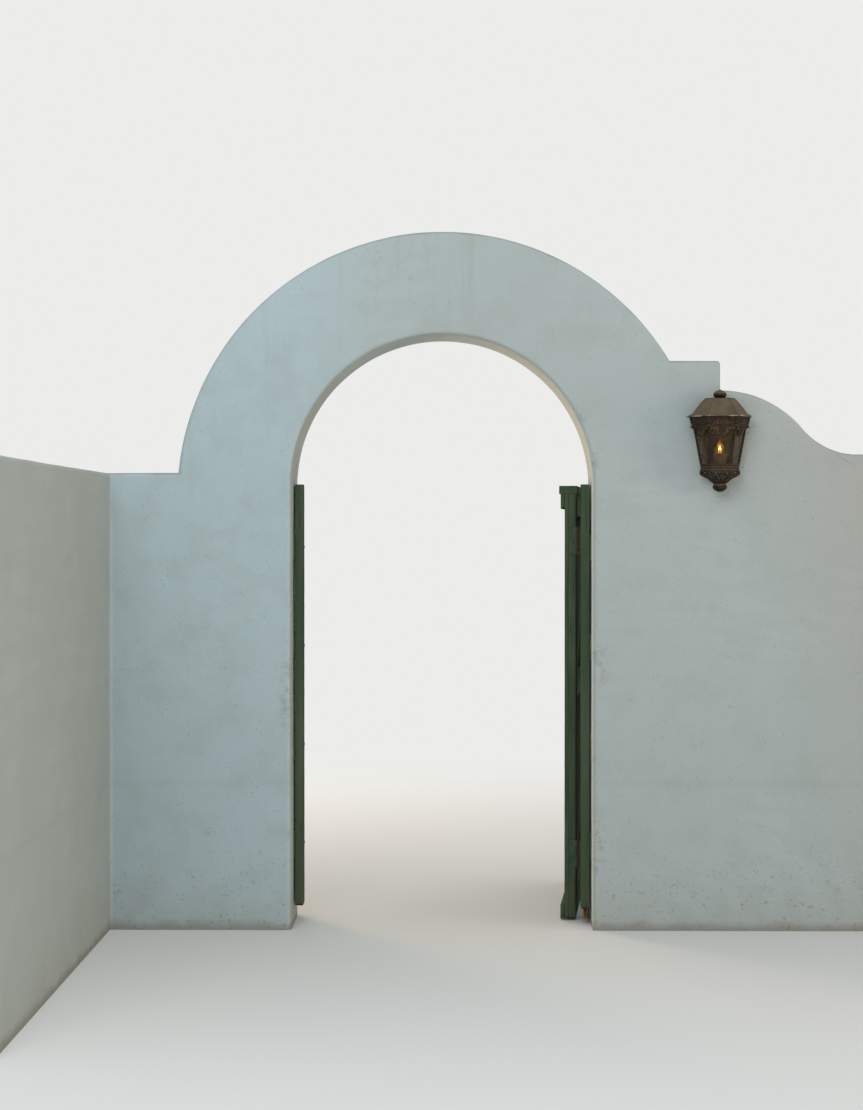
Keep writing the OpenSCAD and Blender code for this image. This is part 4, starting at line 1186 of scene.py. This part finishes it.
# Skirt: a pierced sheet under the rail that swells and then draws in to the finial as an
# ogee, with a rosette, two leaves and rows of holes on every facet.
skirt_levels = eased_profile([
    (0.0785, -0.013), (0.0802, -0.019), (0.0805, -0.0255), (0.0772, -0.0312), (0.0650, -0.0385),
    (0.0470, -0.0475), (0.0350, -0.0580), (0.0300, -0.0618), (0.0270, -0.0650)], 3)
skirt_run = [0.0]
for (r0, h0), (r1, h1) in zip(skirt_levels, skirt_levels[1:]):
    skirt_run.append(skirt_run[-1] + math.hypot((r1 - r0) * cos30, h1 - h0))


def skirt_path(y):
    y = max(0.0, min(skirt_run[-1], y))
    for i in range(len(skirt_run) - 1):
        if y <= skirt_run[i + 1]:
            t = (y - skirt_run[i]) / (skirt_run[i + 1] - skirt_run[i])
            return tuple(a + (b - a) * t for a, b in zip(skirt_levels[i], skirt_levels[i + 1]))


def crescent(x, y, radius, thick, side, spread=1.5, count=9):
    """A curl that bulges to one side, thick in its middle and pointed at its ends."""
    turns = [spread * (2 * k / count - 1) for k in range(count + 1)]
    outer = [(x + side * radius * math.cos(a), y + radius * math.sin(a)) for a in turns]
    inner = []
    for a in turns[-2:0:-1]:
        inset = thick * (math.cos(a) - math.cos(spread)) / (1 - math.cos(spread))
        inner.append((x + side * (radius * math.cos(a) - inset), y + radius * math.sin(a)))
    return outer + inner


outline = [(skirt_path(y)[0] / 2, y) for y in skirt_run]
outline = [(-x, y) for x, y in outline[::-1]] + outline
holes = [ellipse(0, 0.0250, 0.0046, 0.0046, sides=12)]
for side in (-1, 1):
    holes.append(ellipse(side * 0.0072, 0.0085, 0.0050, 0.0043, side * 0.4, 12))
    holes.append(crescent(side * 0.0168, 0.0135, 0.0094, 0.0062, side))
    holes.append(ellipse(side * 0.0118, 0.0375, 0.0062, 0.0037, side * 2.2, 12))
    holes += [ellipse(side * x, y, long, wide, side * angle) for x, y, long, wide, angle in (
        (0.0325, 0.0070, 0.0028, 0.0024, 0.8), (0.0300, 0.0215, 0.0046, 0.0022, 1.9),
        (0.0150, 0.0262, 0.0030, 0.0019, 0.6), (0.0072, 0.0505, 0.0036, 0.0017, 1.8))]
holes += [ellipse(0, 0.0145, 0.0020, 0.0020, sides=8), ellipse(0, 0.0430, 0.0034, 0.0018, math.pi / 2)]
on_facets("lantern_skirt_sheet", pierced_sheet(outline, holes, skirt_run[1:-1]), skirt_path, "lantern_skirt")
rolled("lantern_skirt_seams", corner_lines(skirt_levels), seam_wire)

# Finial: a turned flattened ball on a collar, drawn out to a small point below. It closes
# the foot of the skirt.
finial_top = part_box("lantern_finial")[1].z - lantern_axis.z
finial_radius, finial_height = 0.029, 0.036
finial_profile = [(0.95, 0), (0.86, 0.05), (0.84, 0.09), (0.94, 0.22), (1, 0.42), (0.97, 0.56), (0.86, 0.7),
                  (0.66, 0.83), (0.4, 0.93), (0.15, 0.99)]
finial = lathe([(r * finial_radius, finial_top - h * finial_height)
                for r, h in [(0, 0)] + eased_profile(finial_profile) + [(0, 1)]])
hang("lantern_finial_turned", finial, "lantern_finial", sharp=60)

# Backplate: the flat sheet behind the glass that carries the rest. It is screwed to the
# wall, with its edges eased.
hang("lantern_backplate_sheet", lantern_copy("lantern_backplate"), "lantern_backplate", bevel=0.0006)

# Candle cup: a wax-coloured sleeve with drips run down from its rim. The drips stand round
# it, each with its turn, its width and the height of its foot.
drips = ((-2.5, 0.11, 0.020), (-1.9, 0.13, 0.034), (-1.35, 0.10, 0.014), (-0.9, 0.12, 0.028),
         (-0.2, 0.11, 0.022), (0.6, 0.12, 0.030), (1.5, 0.11, 0.018), (2.4, 0.12, 0.026))
drip_swell, drip_end = 0.045, 0.004
candle_wax, w = material_wire("candle_sleeve")
place = object_place(w)
wax = noise_fac(place, 60, 4, 0.6)
low = soft_step(axis_of(place, "Z"), lantern_axis.z + 0.045, lantern_axis.z)
colour = coated((134, 112, 80), (soft_step(wax, 0.35, 0.65), 160, 136, 98), (low * 0.45, 112, 88, 60))
finish_surface(w, colour, 0.5 + wax * 0.2, bumped(wax, 0.0005))
cup = lathe([(0, 0), (0.0235, 0), (0.0240, 0.006), (0.0243, 0.014), (0.0247, 0.022), (0.0250, 0.030),
             (0.0254, 0.037), (0.0257, 0.043), (0.0258, 0.048), (0.0252, 0.0525), (0.0236, 0.0552),
             (0.0215, 0.0560), (0.0198, 0.0545), (0.0195, 0.050), (0.0192, 0.0445), (0, 0.0440)], 72)
for v in cup.verts:
    turn, run = math.atan2(v.co.y, v.co.x), 0.0
    for middle, wide, reach in drips:
        off = (turn - middle + math.pi) % math.tau - math.pi
        run += math.exp(-(off / wide) ** 2) * max(0.0, min(1.0, 1 - (reach - v.co.z) / drip_end))
    if v.co.xy.length > 0.022 and v.co.z > 0.002:
        v.co.xy *= 1 + drip_swell * run
hang("lantern_candle_sleeve", cup, "lantern_cup", material=candle_wax, slot="candle_cup", sharp=60)

# Bulb: a flame-shaped lamp, lit, with a hot filament. Its light comes from a small lamp
# above it, under the roof.
bulb_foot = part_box("lantern_bulb")[0].z - lantern_axis.z
bulb_radius, bulb_height, glow_height, light_height = 0.018, 0.065, 0.034, 0.115
filament_wire, filament_turns = 0.0009, (0.4, 2.0, 3.5, 5.1)
bulb_profile = [(0.6, 0), (0.82, 0.15), (0.97, 0.28), (1, 0.38), (0.92, 0.52), (0.74, 0.66), (0.5, 0.8),
                (0.24, 0.92), (0.08, 0.99)]


def above_foot(height):
    return lantern_axis + Vector((0, 0, bulb_foot + height))


flame_glass, w = material_wire("lit_flame_bulb")
place = object_place(w)
core = spot(place, above_foot(glow_height), (0.012, 0.014, 0.018))
glow = spot(place, above_foot(glow_height), (0.022, 0.022, 0.046))
swirl = streak_fac(place, 60, 60, 30)
light_tint = coated((62, 52, 26), (glow, 140, 112, 54), (core, 255, 206, 130))
finish_surface(w, rgb(150, 128, 78), 0.12 + swirl * 0.06, bumped(swirl, 0.0004),
               Alpha=0.5 + glow * 0.3, Emission_Color=light_tint, Emission_Strength=1.1)
bulb = lathe([(r * bulb_radius, bulb_foot + h * bulb_height)
              for r, h in [(0, 0)] + eased_profile(bulb_profile) + [(0, 1)]], 40)
hang("lantern_bulb_glass", bulb, "lantern_bulb", material=flame_glass, slot="bulb", sharp=60)
hot_wire, w = material_wire("hot_filament")
heat = spot(object_place(w), above_foot(0.033), (0.012, 0.012, 0.013))
finish_surface(w, coated((150, 80, 30), (heat, 255, 170, 90)), 0.5 + heat * 0.1, bumped(heat, 0.0001),
               Emission_Color=coated((120, 60, 20), (heat, 255, 184, 104)), Emission_Strength=40.0)
strands = [[(r * math.cos(a + lean), r * math.sin(a + lean), bulb_foot + h)
            for r, lean, h in ((0.0045, 0, 0.004), (0.0060, 0, 0.020), (0.0036, 0.5, 0.046))]
           for a in filament_turns]
rolled("lantern_filament", strands, filament_wire, hot_wire, "bulb", sides=6)
bulb_lamp = bpy.data.lights.new("bulb_light", "POINT")
bulb_lamp.energy, bulb_lamp.color, bulb_lamp.shadow_soft_size = 0.14, (1.0, 0.66, 0.36), 0.012
link_object("bulb_light", bulb_lamp).location = above_foot(light_height)
